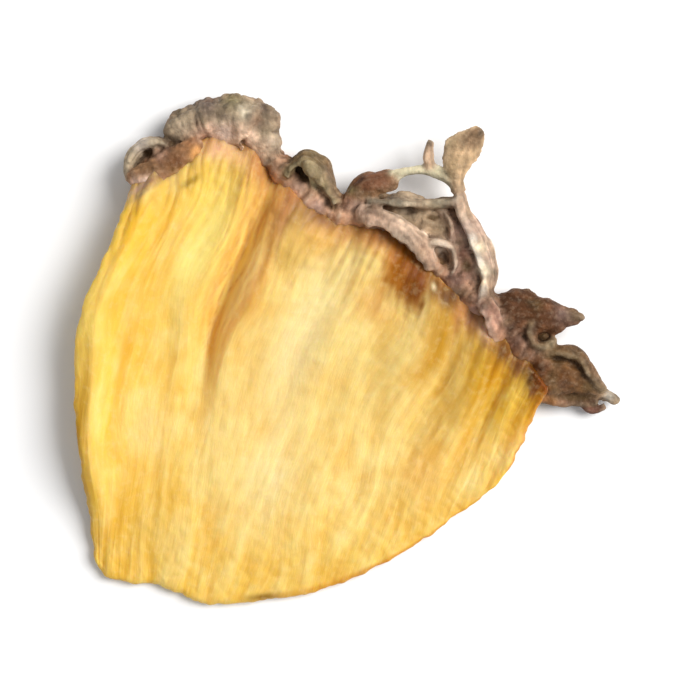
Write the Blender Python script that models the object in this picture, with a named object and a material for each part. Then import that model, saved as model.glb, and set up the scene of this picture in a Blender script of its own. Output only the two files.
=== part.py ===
"""A dried pineapple wedge with its rind on, lying flat: one closed solid.

The flesh is a thin slab, wavy along its fibres, with its left cut edge arched off the
table. Along its upper right side runs the rind, whose scales have dried into a cap,
curls, hoods, a loop with an opening, a thorn and one papery bract.
Lengths are in millimetres, and the finished object is in metres.
"""

import math

import bmesh
import bpy
import numpy as np

MM = 0.001
NODE = "dried_pineapple"

# Plan of the flesh: its four edges as smooth curves through these places. Both cut edges and both
# long edges run from the core side to the rind side, or from left to right.
LEFT_CUT = (
    (-24.2, -20.5), (-24.7, -15.5), (-25.3, -10.0), (-25.6, -4.0), (-25.3, 2.2), (-23.7, 6.6),
    (-22.1, 10.2), (-20.9, 13.6), (-20.2, 16.2),
)  # fmt: skip
RIGHT_CUT = ((16.5, -11.5), (17.7, -8.8), (18.8, -6.2), (20.3, -3.4))
CORE_EDGE = (
    (-24.2, -20.5), (-23.2, -22.1), (-21.3, -22.7), (-18.6, -22.9), (-16.2, -23.6), (-13.7, -24.8),
    (-8.9, -24.6), (-2.0, -23.5), (5.9, -19.9), (12.6, -15.2), (15.2, -13.1), (16.5, -11.5),
)  # fmt: skip
RIND_EDGE = (
    (-20.2, 16.2), (-17.6, 17.8), (-14.4, 20.0), (-11.4, 21.0), (-8.8, 19.9), (-6.9, 17.6),
    (-4.9, 15.6), (-2.5, 13.6), (0.0, 12.7), (3.2, 12.1), (6.6, 10.0), (10.3, 6.4), (13.0, 4.1),
    (15.8, 1.3), (18.5, -0.9), (20.3, -3.4),
)  # fmt: skip
# How much the fibres crowd together at the core edge's left end and at the rind edge's right end
FAN = 0.42
FLESH_ACROSS, FLESH_ALONG = 45.0, 38.0

# Thickness and lie of the flesh
FLESH_THICKNESS = 1.9
CUT_EDGE_THICKNESS = 1.3
RIND_EDGE_THICKNESS = 2.7
THIN_OVER = 7.0
ROUND_OVER = 0.9
RIM_SHARE = 0.3
RIND_RIM = 0.35
LYING_HEIGHT = 0.7
RIND_SIDE_LIFT = 2.0
LIFT_FROM, LIFT_TO = 0.45, 0.95
RIND_DIP, RIND_DIP_OVER = 0.7, 2.4
LEFT_ARCH, LEFT_ARCH_REACH = 4.0, 0.22
ARCH_RISE_FROM, ARCH_RISE_TO = 0.02, 0.34
ARCH_AT_RIND = 0.45
RIGHT_ARCH, RIGHT_ARCH_REACH = 0.9, 0.12

# Folds along the fibres: place across (0 left, 1 right), half-width in mm, height in mm, and the
# shares of the fibre's length, from the core, where a fold starts and is full
FOLDS = (
    (0.245, 1.1, -1.5, 0.40, 0.68),
    (0.205, 1.5, 0.7, 0.35, 0.62),
    (0.290, 1.4, 0.7, 0.35, 0.62),
    (0.045, 0.9, 0.6, 0.10, 0.45),
    (0.085, 1.1, -0.7, 0.10, 0.40),
    (0.140, 1.3, 0.3, 0.45, 0.75),
    (0.400, 1.6, -0.4, 0.35, 0.70),
    (0.460, 1.5, 0.4, 0.35, 0.70),
    (0.620, 1.5, 0.4, 0.45, 0.80),
    (0.700, 1.4, -0.6, 0.30, 0.75),
    (0.790, 1.4, 0.4, 0.30, 0.75),
    (0.850, 1.2, -0.7, 0.25, 0.70),
)
RIPPLE_CELL, RIPPLE_HEIGHT = (0.13, 0.45), 0.3

# Rind strips: places along each as (x, y, z, half-width, half-thickness, roll in degrees).
# Roll 0 lays a strip flat and 90 stands it on edge. Cup lowers a strip's two long edges.
RIND_STRIPS = {
    "ridge": (0.0, (
        (-20.0, 16.9, 2.1, 1.7, 0.8, 90), (-17.9, 18.4, 1.9, 1.9, 1.2, 90),
        (-14.9, 20.5, 1.9, 1.9, 1.5, 90), (-11.4, 21.7, 1.9, 1.9, 1.6, 90),
        (-8.2, 20.6, 1.9, 1.9, 1.4, 90), (-6.2, 18.2, 1.9, 1.9, 1.3, 90),
        (-4.2, 16.0, 1.9, 1.9, 1.5, 90), (-2.0, 14.2, 1.9, 1.9, 1.4, 90),
        (0.5, 13.3, 1.8, 1.9, 1.3, 90), (3.4, 12.8, 1.8, 1.9, 1.3, 90),
        (6.4, 11.1, 1.8, 1.9, 1.3, 90), (9.1, 8.3, 1.8, 1.9, 1.3, 90),
        (11.4, 6.4, 1.8, 1.9, 1.4, 90), (13.8, 4.6, 1.8, 1.9, 1.5, 90),
        (16.4, 1.8, 2.0, 1.8, 1.4, 90), (18.8, -0.5, 2.1, 1.7, 1.4, 90),
        (20.9, -3.2, 1.9, 1.6, 1.2, 90),
    )),
    "cap": (0.35, (
        (-17.0, 20.6, 3.0, 1.2, 0.8, 20), (-15.3, 21.7, 3.4, 2.0, 1.0, 16),
        (-13.9, 22.2, 3.5, 1.8, 1.0, 12), (-12.4, 22.5, 3.8, 2.3, 1.1, 12),
        (-10.2, 22.6, 3.9, 2.5, 1.1, 14), (-8.0, 22.1, 3.6, 2.5, 1.0, 18),
        (-7.0, 20.0, 3.2, 1.7, 0.9, 22), (-6.6, 18.0, 2.9, 1.0, 0.7, 28),
    )),
    "cap_skirt": (0.0, (
        (-16.8, 21.8, 2.2, 1.4, 0.7, 80), (-14.0, 23.6, 2.2, 1.6, 0.7, 80),
        (-10.8, 24.0, 2.3, 1.7, 0.7, 80), (-7.9, 23.0, 2.2, 1.6, 0.7, 80),
        (-6.4, 20.6, 2.2, 1.4, 0.7, 80),
    )),
    "lip": (0.2, (
        (-20.6, 16.7, 4.2, 0.9, 0.5, 0), (-18.9, 17.0, 5.0, 1.4, 0.5, 14),
        (-17.2, 17.7, 5.0, 1.4, 0.5, 14), (-15.4, 19.1, 4.5, 1.1, 0.5, 10),
        (-13.5, 20.4, 4.1, 0.7, 0.4, 0),
    )),
    "left_curl": (0.0, (
        (-20.2, 16.4, 2.9, 1.3, 0.55, 90), (-20.5, 18.2, 2.8, 1.7, 0.6, 88),
        (-19.4, 19.8, 2.8, 1.8, 0.6, 84), (-17.9, 20.3, 2.8, 1.8, 0.55, 84),
        (-16.6, 19.8, 2.7, 1.5, 0.5, 90),
    )),
    "left_curl_bed": (0.0, (
        (-19.6, 17.8, 1.9, 1.0, 0.9, 0), (-18.1, 18.8, 2.0, 1.4, 0.9, 0),
        (-16.4, 19.8, 1.9, 1.2, 0.9, 0),
    )),
    "second_curl": (0.1, (
        (-5.6, 16.6, 2.8, 1.5, 0.6, 88), (-4.7, 18.1, 2.8, 1.8, 0.6, 86),
        (-3.4, 18.7, 2.9, 2.0, 0.7, 74), (-2.1, 17.9, 2.9, 2.1, 0.8, 70),
        (-1.2, 16.2, 2.8, 2.0, 0.8, 74), (-0.4, 14.2, 2.5, 1.6, 0.7, 84),
    )),
    "second_curl_fold": (0.0, (
        (-2.6, 18.0, 3.0, 0.9, 0.5, 60), (-2.4, 16.7, 2.8, 1.1, 0.55, 62),
        (-1.9, 15.2, 2.5, 0.9, 0.5, 70),
    )),
    "second_curl_bed": (0.0, (
        (-5.2, 16.2, 1.7, 1.3, 1.0, 0), (-3.5, 16.6, 2.0, 2.0, 1.1, 0),
        (-2.0, 15.4, 1.9, 1.8, 1.1, 0), (-0.8, 13.8, 1.6, 1.2, 1.0, 0),
    )),
    "brown_hood": (0.45, (
        (0.2, 13.4, 2.8, 0.9, 0.6, 30), (1.0, 15.0, 3.3, 1.2, 0.6, 30),
        (2.3, 16.2, 3.7, 1.5, 0.6, 26), (3.9, 16.5, 3.8, 1.4, 0.55, 22),
        (5.5, 16.9, 3.7, 0.9, 0.5, 10),
    )),
    "loop_strand": (0.1, (
        (4.6, 16.9, 3.7, 0.8, 0.5, 0), (6.4, 17.4, 3.9, 0.55, 0.42, 0),
        (8.3, 17.5, 4.0, 0.6, 0.42, 0), (10.0, 16.9, 4.0, 0.7, 0.45, 0),
        (11.4, 15.6, 3.8, 0.8, 0.5, 0),
    )),
    "thorn": (0.0, (
        (8.6, 17.4, 4.0, 0.6, 0.45, 0), (8.4, 18.7, 4.4, 0.5, 0.4, 0),
        (8.6, 20.3, 4.8, 0.3, 0.3, 0),
    )),
    "bract": (0.2, (
        (11.3, 15.2, 3.8, 0.8, 0.5, 0), (11.1, 16.8, 4.2, 1.0, 0.4, -8),
        (11.4, 18.2, 4.6, 1.7, 0.32, -14), (12.0, 19.4, 4.9, 1.9, 0.3, -12),
        (12.8, 20.5, 5.0, 1.4, 0.3, -6), (13.5, 21.3, 5.0, 0.7, 0.3, 0),
    )),
    "loop_rim": (0.0, (
        (2.4, 14.5, 2.5, 1.4, 0.5, 90), (4.8, 14.4, 2.7, 1.6, 0.55, 86),
        (7.2, 14.3, 2.8, 1.7, 0.55, 84), (9.6, 14.3, 2.8, 1.7, 0.55, 86),
        (11.6, 14.5, 2.8, 1.5, 0.5, 90),
    )),
    "pale_band": (0.2, (
        (1.6, 13.5, 3.6, 0.7, 0.5, 16), (3.4, 13.1, 4.1, 1.0, 0.5, 24),
        (5.2, 12.3, 4.4, 1.2, 0.5, 26), (6.8, 11.1, 4.4, 1.2, 0.5, 26),
        (8.1, 9.5, 4.1, 1.0, 0.5, 24), (8.8, 7.8, 3.7, 0.7, 0.5, 14),
    )),
    "band_curl": (0.0, (
        (8.0, 10.4, 3.2, 1.1, 0.45, 80), (9.6, 10.6, 3.2, 1.2, 0.45, 80),
        (10.8, 9.8, 3.0, 1.2, 0.45, 84), (11.0, 8.4, 2.8, 1.2, 0.45, 90),
        (10.6, 7.0, 2.7, 1.1, 0.45, 90),
    )),
    "outer_band": (0.05, (
        (11.3, 15.4, 3.3, 1.2, 0.5, 80), (12.0, 13.4, 3.0, 1.7, 0.55, 70),
        (13.2, 11.4, 2.7, 1.9, 0.6, 62), (14.0, 9.4, 2.6, 2.0, 0.6, 60),
        (14.4, 7.4, 2.5, 1.9, 0.6, 66), (14.1, 5.6, 2.4, 1.7, 0.55, 76),
        (13.6, 4.2, 2.3, 1.4, 0.5, 84),
    )),
    "upper_septum": (0.0, (
        (9.2, 14.2, 2.2, 1.3, 0.5, 90), (10.6, 12.8, 2.3, 1.5, 0.5, 80),
        (10.8, 11.2, 2.3, 1.5, 0.5, 84), (10.2, 9.9, 2.2, 1.3, 0.45, 90),
    )),
    "lower_septum": (0.0, (
        (13.8, 9.6, 2.0, 1.3, 0.5, 90), (12.6, 9.9, 2.1, 1.4, 0.5, 90),
        (11.4, 9.4, 2.1, 1.3, 0.45, 84),
    )),
    "loop_bed": (0.0, (
        (1.6, 13.9, 1.3, 1.2, 1.3, 0), (4.4, 13.4, 1.5, 1.8, 1.5, 0),
        (7.8, 12.6, 1.8, 2.4, 1.4, 0), (10.8, 11.2, 2.1, 3.0, 1.3, 0),
        (12.2, 8.6, 1.9, 2.6, 1.2, 0), (12.6, 5.8, 1.7, 2.0, 1.4, 0),
    )),
    "pale_cut": (0.1, (
        (13.2, 5.4, 3.1, 0.6, 0.5, 20), (14.2, 4.1, 4.0, 1.0, 0.5, 26),
        (14.9, 2.6, 4.1, 1.1, 0.5, 26), (15.4, 0.9, 3.6, 0.7, 0.5, 14),
    )),
    "fourth_hood": (0.4, (
        (14.4, 3.6, 2.2, 2.1, 0.7, 0), (16.4, 3.6, 3.1, 2.8, 0.7, 4),
        (18.5, 3.4, 3.5, 2.9, 0.65, 6), (20.4, 3.3, 3.3, 2.2, 0.6, 4),
        (21.9, 3.3, 3.0, 1.3, 0.5, 2), (23.6, 3.2, 2.7, 0.2, 0.3, 0),
    )),
    "fourth_curl": (0.0, (
        (18.7, 2.9, 3.6, 0.5, 0.4, 70), (18.3, 1.8, 3.5, 0.9, 0.45, 70),
        (18.8, 0.7, 3.2, 1.1, 0.45, 70), (19.8, 0.6, 3.0, 1.0, 0.45, 70),
        (20.7, 1.2, 2.8, 0.7, 0.4, 70),
    )),
    "fifth_hood": (0.35, (
        (18.4, -1.8, 2.4, 1.3, 0.8, 0), (20.4, -2.2, 2.9, 2.0, 0.8, 4),
        (22.5, -2.5, 2.8, 2.1, 0.65, 6), (24.2, -3.3, 2.3, 1.5, 0.6, 4),
        (25.6, -4.1, 1.7, 0.9, 0.5, 0), (27.2, -4.9, 1.2, 0.35, 0.4, 0),
    )),
    "fifth_fold": (0.0, (
        (19.0, -0.3, 2.8, 0.8, 0.5, 70), (21.2, 0.0, 3.2, 1.1, 0.5, 64),
        (23.2, -0.6, 3.2, 1.1, 0.5, 62), (24.4, -2.4, 2.8, 0.9, 0.5, 66),
        (25.6, -3.8, 2.1, 0.6, 0.45, 70),
    )),
    "fifth_hem": (0.1, (
        (19.4, -3.9, 1.5, 1.1, 0.7, 0), (21.4, -4.5, 1.6, 1.1, 0.7, 10),
        (23.3, -4.5, 1.6, 0.9, 0.6, 10), (25.2, -4.6, 1.5, 0.6, 0.5, 0),
    )),
    "thread": (0.0, (
        (23.4, -4.9, 1.3, 0.4, 0.35, 0), (24.6, -5.8, 1.1, 0.35, 0.3, 0),
        (25.9, -5.4, 1.1, 0.3, 0.3, 0),
    )),
}
STRIP_LUMP_CELL, STRIP_LUMP_SHARE = 1.9, 0.3
RAGGED_CELL, RAGGED_SHARE = 2.4, 0.25
END_TAPER = 0.55

# Fineness of the solid
FLESH_COLUMNS, FLESH_ROWS = 46, 16
END_CROWDING = 0.6
STEPS_PER_STATION = 2
STRIP_SIDES = 8

# The plan is shifted so that the box round the whole part is centred on the origin
PLAN_SHIFT = (-0.85, -0.08)


def smooth(value, low, high):
    """0 below low, 1 above high, and a smooth step between."""
    share = np.clip((np.asarray(value, float) - low) / (high - low), 0.0, 1.0)
    return share * share * (3.0 - 2.0 * share)


def corner_slopes(lattice, seed):
    """A repeatable random slope, each part from -1 to 1, for every corner of a lattice."""
    slopes = np.empty(lattice.shape, float)
    for part in range(3):
        mixed = (lattice[..., 0] * 374761393 + lattice[..., 1] * 668265263
                 + lattice[..., 2] * 2147483647 + (seed * 3 + part) * 1274126177) & 0xFFFFFFFF
        mixed = ((mixed ^ (mixed >> 13)) * 1103515245) & 0xFFFFFFFF
        mixed = ((mixed ^ (mixed >> 16)) * 60493) & 0xFFFFFFFF
        slopes[..., part] = (mixed & 0xFFFF) / 32767.5 - 1.0
    return slopes


def noise(points, cell, seed):
    """Smooth gradient noise, about -1 to 1, at an (n, 3) array of points."""
    scaled = np.asarray(points, float) / cell
    base = np.floor(scaled).astype(np.int64)
    inside = scaled - base
    fade = inside ** 3 * (inside * (inside * 6.0 - 15.0) + 10.0)
    total = np.zeros(len(scaled))
    for corner in np.ndindex(2, 2, 2):
        corner = np.array(corner)
        slope = corner_slopes(base + corner, seed)
        weight = np.prod(np.where(corner == 1, fade, 1.0 - fade), axis=1)
        total += weight * np.sum(slope * (inside - corner), axis=1)
    return np.clip(total * 1.6, -1.0, 1.0)


def along_stations(stations, steps):
    """Stations joined by a smooth curve, with steps points for each gap between them."""
    rows = np.array(stations, float)
    rows = np.concatenate([2 * rows[:1] - rows[1:2], rows, 2 * rows[-1:] - rows[-2:-1]])
    t = np.arange(steps)[:, None] / steps
    made = []
    for before, start, end, after in zip(rows, rows[1:], rows[2:], rows[3:]):
        made.append(0.5 * (2 * start + (end - before) * t + (2 * before - 5 * start + 4 * end - after) * t**2
                           + (3 * start - before - 3 * end + after) * t**3))
    return np.concatenate(made + [rows[-2:-1]])


def even_curve(places):
    """A function of 0 to 1 that runs at an even pace along a smooth curve through the places."""
    fine = along_stations(places, 24)
    lengths = np.concatenate([[0.0], np.cumsum(np.linalg.norm(np.diff(fine, axis=0), axis=1))])
    shares = lengths / lengths[-1]
    return lambda share: np.column_stack([np.interp(share, shares, fine[:, i]) for i in range(fine.shape[1])])


def flesh_plan(across, along):
    """X and y for shares across the fibres, from the left cut, and along them, from the core edge."""
    left, right = even_curve(LEFT_CUT), even_curve(RIGHT_CUT)
    core, rind = even_curve(CORE_EDGE), even_curve(RIND_EDGE)
    crowd = FAN * across * (1.0 - across)
    u, v = across[:, None], along[:, None]
    plan = (1.0 - v) * core(across - crowd) + v * rind(across + crowd)
    for edge, pull in ((left, (1.0 - u) ** 2), (right, u**2)):
        straight = (1.0 - v) * edge([0.0]) + v * edge([1.0])
        plan += pull * (edge(along) - straight)
    return plan


def flesh_middle(across, along):
    """Height of the slab's mid-surface."""
    height = LYING_HEIGHT + RIND_SIDE_LIFT * smooth(along, LIFT_FROM, LIFT_TO)
    arch = smooth(along, ARCH_RISE_FROM, ARCH_RISE_TO) * (1.0 - ARCH_AT_RIND * smooth(along, 0.7, 1.0))
    height += LEFT_ARCH * arch * (1.0 - smooth(across, 0.0, LEFT_ARCH_REACH)) ** 1.5
    height += RIGHT_ARCH * smooth(across, 1.0 - RIGHT_ARCH_REACH, 1.0) * (1.0 - smooth(along, 0.5, 0.95))
    height -= RIND_DIP * (1.0 - smooth(FLESH_ALONG * (1.0 - along), 0.0, RIND_DIP_OVER))
    for place, half_width, rise, start, full in FOLDS:
        profile = np.exp(-((FLESH_ACROSS * (across - place) / half_width) ** 2))
        height += rise * profile * smooth(along, start, full)
    flow = np.column_stack([across / RIPPLE_CELL[0], along / RIPPLE_CELL[1], np.zeros_like(across)])
    return height + RIPPLE_HEIGHT * noise(flow, 1.0, 11)


def flesh_thickness(across, along):
    """Thickness of the slab: thinner towards its cut edges, thicker at the rind, with rounded rims."""
    cut_away = np.minimum(FLESH_ACROSS * np.minimum(across, 1.0 - across), FLESH_ALONG * along)
    rind_away = FLESH_ALONG * (1.0 - along)
    thickness = CUT_EDGE_THICKNESS + (FLESH_THICKNESS - CUT_EDGE_THICKNESS) * smooth(cut_away, 0.0, THIN_OVER)
    thickness += (RIND_EDGE_THICKNESS - FLESH_THICKNESS) * (1.0 - smooth(rind_away, 0.0, THIN_OVER))
    rounded = np.clip(1.0 - np.minimum(cut_away, rind_away + RIND_RIM) / ROUND_OVER, 0.0, 1.0)
    return thickness * (RIM_SHARE + (1.0 - RIM_SHARE) * np.sqrt(1.0 - rounded**2))


def crowded_steps(count):
    """Shares from 0 to 1, closer together towards both ends."""
    even = np.linspace(0.0, 1.0, count + 1)
    return even - END_CROWDING * np.sin(2.0 * math.pi * even) / (2.0 * math.pi)


def flesh_slab(columns, rows):
    """Points and faces of the closed slab."""
    across, along = np.meshgrid(crowded_steps(columns), crowded_steps(rows))
    across, along = across.ravel(), along.ravel()
    plan = flesh_plan(across, along)
    middle = flesh_middle(across, along)
    half = flesh_thickness(across, along) / 2.0
    points = np.concatenate([np.column_stack([plan, middle + half]), np.column_stack([plan, middle - half])])
    line = columns + 1
    under = line * (rows + 1)
    faces = []
    for j in range(rows):
        for i in range(columns):
            a = j * line + i
            b, c, d = a + 1, a + line + 1, a + line
            faces.append((a, b, c, d))
            faces.append((under + d, under + c, under + b, under + a))
    ring = [i for i in range(columns)]
    ring += [j * line + columns for j in range(rows)]
    ring += [rows * line + i for i in range(columns, 0, -1)]
    ring += [j * line for j in range(rows, 0, -1)]
    for p, q in zip(ring, ring[1:] + ring[:1]):
        faces.append((p, under + p, under + q, q))
    return points, faces


def strip(cup, stations, steps, sides):
    """Points and faces of one closed strip, an oval in section and lumpy along its length."""
    rows = along_stations(stations, steps)
    centres, half_width, half_thick = rows[:, :3], rows[:, 3].copy(), rows[:, 4].copy()
    half_width *= 1.0 + RAGGED_SHARE * noise(centres, RAGGED_CELL, 6)
    for end in (0, -1):
        half_width[end] *= END_TAPER
        half_thick[end] *= END_TAPER
    roll = np.radians(rows[:, 5])[:, None]
    along = np.gradient(centres, axis=0)
    along /= np.linalg.norm(along, axis=1)[:, None]
    side = np.cross(along, (0.0, 0.0, 1.0))
    side /= np.linalg.norm(side, axis=1)[:, None]
    up = np.cross(side, along)
    across = np.cos(roll) * side + np.sin(roll) * up
    through = np.cos(roll) * up - np.sin(roll) * side
    turn = 2.0 * math.pi * np.arange(sides) / sides
    wide = half_width[:, None] * np.cos(turn)
    thick = half_thick[:, None] * np.sin(turn) - cup * half_width[:, None] * np.cos(turn) ** 2
    ring = wide[..., None] * across[:, None] + thick[..., None] * through[:, None]
    points = (centres[:, None] + ring).reshape(-1, 3)
    lump = 1.0 + STRIP_LUMP_SHARE * noise(points, STRIP_LUMP_CELL, 5)
    points = np.repeat(centres, sides, axis=0) + ring.reshape(-1, 3) * lump[:, None]
    points = np.concatenate([points, centres[:1], centres[-1:]])
    last = len(centres) - 1
    start_cap, end_cap = len(points) - 2, len(points) - 1
    faces = []
    for j in range(sides):
        k = (j + 1) % sides
        for i in range(last):
            faces.append((i * sides + j, (i + 1) * sides + j, (i + 1) * sides + k, i * sides + k))
        faces.append((start_cap, j, k))
        faces.append((end_cap, last * sides + k, last * sides + j))
    return points, faces


def dried_fruit_material():
    material = bpy.data.materials.new("dried_fruit")
    material.use_nodes = True
    shader = material.node_tree.nodes["Principled BSDF"]
    shader.inputs["Base Color"].default_value = (0.87, 0.58, 0.16, 1.0)
    shader.inputs["Roughness"].default_value = 0.55
    shader.inputs["Metallic"].default_value = 0.0
    return material


def mesh_object(name, points, faces, collection):
    mesh = bpy.data.meshes.new(name)
    mesh.from_pydata((points * MM).tolist(), [], faces)
    mesh.validate()
    made = bpy.data.objects.new(name, mesh)
    collection.objects.link(made)
    return made


def fuse(base, collection):
    """Joins everything in the collection to the base by one Boolean union, then removes it."""
    union = base.modifiers.new("join_rind", "BOOLEAN")
    union.operation = "UNION"
    union.operand_type = "COLLECTION"
    union.collection = collection
    union.solver = "MANIFOLD"
    graph = bpy.context.evaluated_depsgraph_get()
    joined = bpy.data.meshes.new_from_object(base.evaluated_get(graph))
    base.modifiers.clear()
    base.data = joined
    for member in list(collection.objects):
        bpy.data.objects.remove(member)
    bpy.data.collections.remove(collection)


def keep_outer_shell(shape):
    """Fills hollows that the joining has sealed, and drops scraps, by keeping the longest shell alone."""
    unseen = set(shape.verts)
    shells = []
    while unseen:
        shell, edge = set(), [unseen.pop()]
        while edge:
            point = edge.pop()
            shell.add(point)
            for link in point.link_edges:
                other = link.other_vert(point)
                if other in unseen:
                    unseen.remove(other)
                    edge.append(other)
        shells.append(shell)
    outer = max(shells, key=len)
    inner = [point for shell in shells if shell is not outer for point in shell]
    bmesh.ops.delete(shape, geom=inner, context="VERTS")


def settle(mesh):
    """Presses what would sink into the table flat against it, and centres the part over the origin."""
    points = np.empty(len(mesh.vertices) * 3, np.float32)
    mesh.vertices.foreach_get("co", points)
    points = points.reshape(-1, 3)
    points[:, 2] = np.maximum(points[:, 2], 0.0)
    points[:, :2] += np.array(PLAN_SHIFT, np.float32) * MM
    mesh.vertices.foreach_set("co", points.ravel())
    cleaned = bmesh.new()
    cleaned.from_mesh(mesh)
    keep_outer_shell(cleaned)
    bmesh.ops.triangulate(cleaned, faces=cleaned.faces)
    cleaned.to_mesh(mesh)
    cleaned.free()
    mesh.update()


def main():
    for old in list(bpy.data.objects):
        bpy.data.objects.remove(old)
    scene_collection = bpy.context.scene.collection
    rind = bpy.data.collections.new("rind_strips")
    scene_collection.children.link(rind)
    wedge = mesh_object(NODE, *flesh_slab(FLESH_COLUMNS, FLESH_ROWS), scene_collection)
    for name, (cup, stations) in RIND_STRIPS.items():
        mesh_object(name, *strip(cup, stations, STEPS_PER_STATION, STRIP_SIDES), rind)
    bpy.context.view_layer.update()
    fuse(wedge, rind)
    settle(wedge.data)
    wedge.data.materials.clear()
    wedge.data.materials.append(dried_fruit_material())
    wedge.data.shade_smooth()


main()
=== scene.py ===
"""Looks of the dried pineapple wedge: fibrous flesh, dried rind, a pale floor and soft light from the right.

Shapes are worked out in millimetres from the same named places as the solid, and turned into
metres when a piece is set on the table.
"""

import math

import bpy
import numpy as np
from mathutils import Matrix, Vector, kdtree


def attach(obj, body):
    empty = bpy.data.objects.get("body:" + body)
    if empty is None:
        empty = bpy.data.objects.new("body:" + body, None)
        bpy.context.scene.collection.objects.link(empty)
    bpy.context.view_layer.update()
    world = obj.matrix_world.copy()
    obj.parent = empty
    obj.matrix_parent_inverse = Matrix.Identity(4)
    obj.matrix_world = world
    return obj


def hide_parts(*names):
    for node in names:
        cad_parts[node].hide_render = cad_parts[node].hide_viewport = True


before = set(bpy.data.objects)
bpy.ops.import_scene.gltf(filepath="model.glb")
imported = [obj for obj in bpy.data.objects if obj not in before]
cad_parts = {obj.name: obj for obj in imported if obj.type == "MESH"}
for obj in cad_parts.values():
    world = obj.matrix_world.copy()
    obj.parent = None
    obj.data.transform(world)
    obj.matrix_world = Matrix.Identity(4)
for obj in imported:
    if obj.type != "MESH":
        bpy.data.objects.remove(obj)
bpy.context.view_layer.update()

MM = 0.001
NODE = "dried_pineapple"
BODY = "root"

# The plan is shifted so that the box round the whole part is centred on the origin
PLAN_SHIFT = (-0.85, -0.08)

# Plan of the flesh: its four edges as smooth curves through these places
LEFT_CUT = (
    (-24.2, -20.5), (-24.7, -15.5), (-25.3, -10.0), (-25.6, -4.0), (-25.3, 2.2), (-23.7, 6.6),
    (-22.1, 10.2), (-20.9, 13.6), (-20.2, 16.2),
)  # fmt: skip
RIGHT_CUT = ((16.5, -11.5), (17.7, -8.8), (18.8, -6.2), (20.3, -3.4))
CORE_EDGE = (
    (-24.2, -20.5), (-23.2, -22.1), (-21.3, -22.7), (-18.6, -22.9), (-16.2, -23.6), (-13.7, -24.8),
    (-8.9, -24.6), (-2.0, -23.5), (5.9, -19.9), (12.6, -15.2), (15.2, -13.1), (16.5, -11.5),
)  # fmt: skip
RIND_EDGE = (
    (-20.2, 16.2), (-17.6, 17.8), (-14.4, 20.0), (-11.4, 21.0), (-8.8, 19.9), (-6.9, 17.6),
    (-4.9, 15.6), (-2.5, 13.6), (0.0, 12.7), (3.2, 12.1), (6.6, 10.0), (10.3, 6.4), (13.0, 4.1),
    (15.8, 1.3), (18.5, -0.9), (20.3, -3.4),
)  # fmt: skip
FAN = 0.42
FLESH_ACROSS, FLESH_ALONG = 45.0, 38.0

# Thickness and lie of the flesh
FLESH_THICKNESS = 1.9
CUT_EDGE_THICKNESS = 1.3
RIND_EDGE_THICKNESS = 2.7
THIN_OVER = 7.0
ROUND_OVER = 0.9
RIM_SHARE = 0.3
RIND_RIM = 0.35
LYING_HEIGHT = 0.7
RIND_SIDE_LIFT = 2.0
LIFT_FROM, LIFT_TO = 0.45, 0.95
RIND_DIP, RIND_DIP_OVER = 0.7, 2.4
LEFT_ARCH, LEFT_ARCH_REACH = 4.0, 0.22
ARCH_RISE_FROM, ARCH_RISE_TO = 0.02, 0.34
ARCH_AT_RIND = 0.45
RIGHT_ARCH, RIGHT_ARCH_REACH = 0.9, 0.12

# Folds along the fibres: place across (0 left, 1 right), half-width in mm, height in mm, and the
# shares of the fibre's length, from the core, where a fold starts and is full
FOLDS = (
    (0.245, 1.1, -1.5, 0.40, 0.68),
    (0.205, 1.5, 0.7, 0.35, 0.62),
    (0.290, 1.4, 0.7, 0.35, 0.62),
    (0.045, 0.9, 0.6, 0.10, 0.45),
    (0.085, 1.1, -0.7, 0.10, 0.40),
    (0.140, 1.3, 0.3, 0.45, 0.75),
    (0.400, 1.6, -0.4, 0.35, 0.70),
    (0.460, 1.5, 0.4, 0.35, 0.70),
    (0.620, 1.5, 0.4, 0.45, 0.80),
    (0.700, 1.4, -0.6, 0.30, 0.75),
    (0.790, 1.4, 0.4, 0.30, 0.75),
    (0.850, 1.2, -0.7, 0.25, 0.70),
)
# Ripples: cell across and along as shares of the flesh, and height in mm
RIPPLES = (0.13, 0.45, 0.3)

# Fineness of the flesh, and its least thickness in mm
FLESH_COLUMNS, FLESH_ROWS = 360, 126
FIBRE_STEPS = 200
END_CROWDING = 0.45
LEAST_THICKNESS = 0.35

# Seeds of the random draws. Each face of the flesh has its own, and steps are added to it.
OVER_SEED, UNDER_SEED = 40, 60
THREAD_STEP, WRINKLE_STEP, PUCKER_STEP, CRINKLE_STEP, CREASE_STEP = 6, 7, 8, 9, 10
RIPPLE_SEED, BEND_SEED, BLOTCH_SEED, FRAY_SEED = 11, 21, 27, 31
MARK_SEED, AMBER_SEED, AMBER_STREAK_SEED, STAIN_SEED = 91, 93, 94, 95
STRIP_LUMP_SEED, RAGGED_SEED = 5, 6
LUMP_SEED, KNOB_SEED, RIND_CREASE_SEED, RIND_WRINKLE_SEED, GRIT_SEED = 110, 111, 112, 113, 114
PLEAT_SEED, SEAM_PALE_SEED, RIND_STREAK_SEED, STRIP_FIBRE_SEED = 115, 116, 117, 118
HUE_SEED, RIND_MARK_SEED, MOTTLE_SEED = 130, 133, 134

# How streaks wander: cell across and along the fibres in mm, and reach in mm
STREAK_BEND = ((7.0, 12.0, 1.3), (3.0, 8.0, 0.35))
# Streaks of the flesh: cell across and along in mm, height in mm, strength of colour
STREAKS = ((3.4, 8.5, 0.20, 0.40), (1.5, 5.5, 0.13, 0.34), (0.65, 3.6, 0.045, 0.17))
# Raised threads, cross wrinkles, and puckers at the rind: cell across and along in mm, height in mm
THREADS = (1.2, 13.0, 0.028)
CROSS_WRINKLES = (3.0, 0.9, 0.04)
PUCKERS = (0.9, 5.5, 0.26)
# Crinkles that run no one way: cell and height in mm
CRINKLES = (1.3, 0.07)
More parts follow.
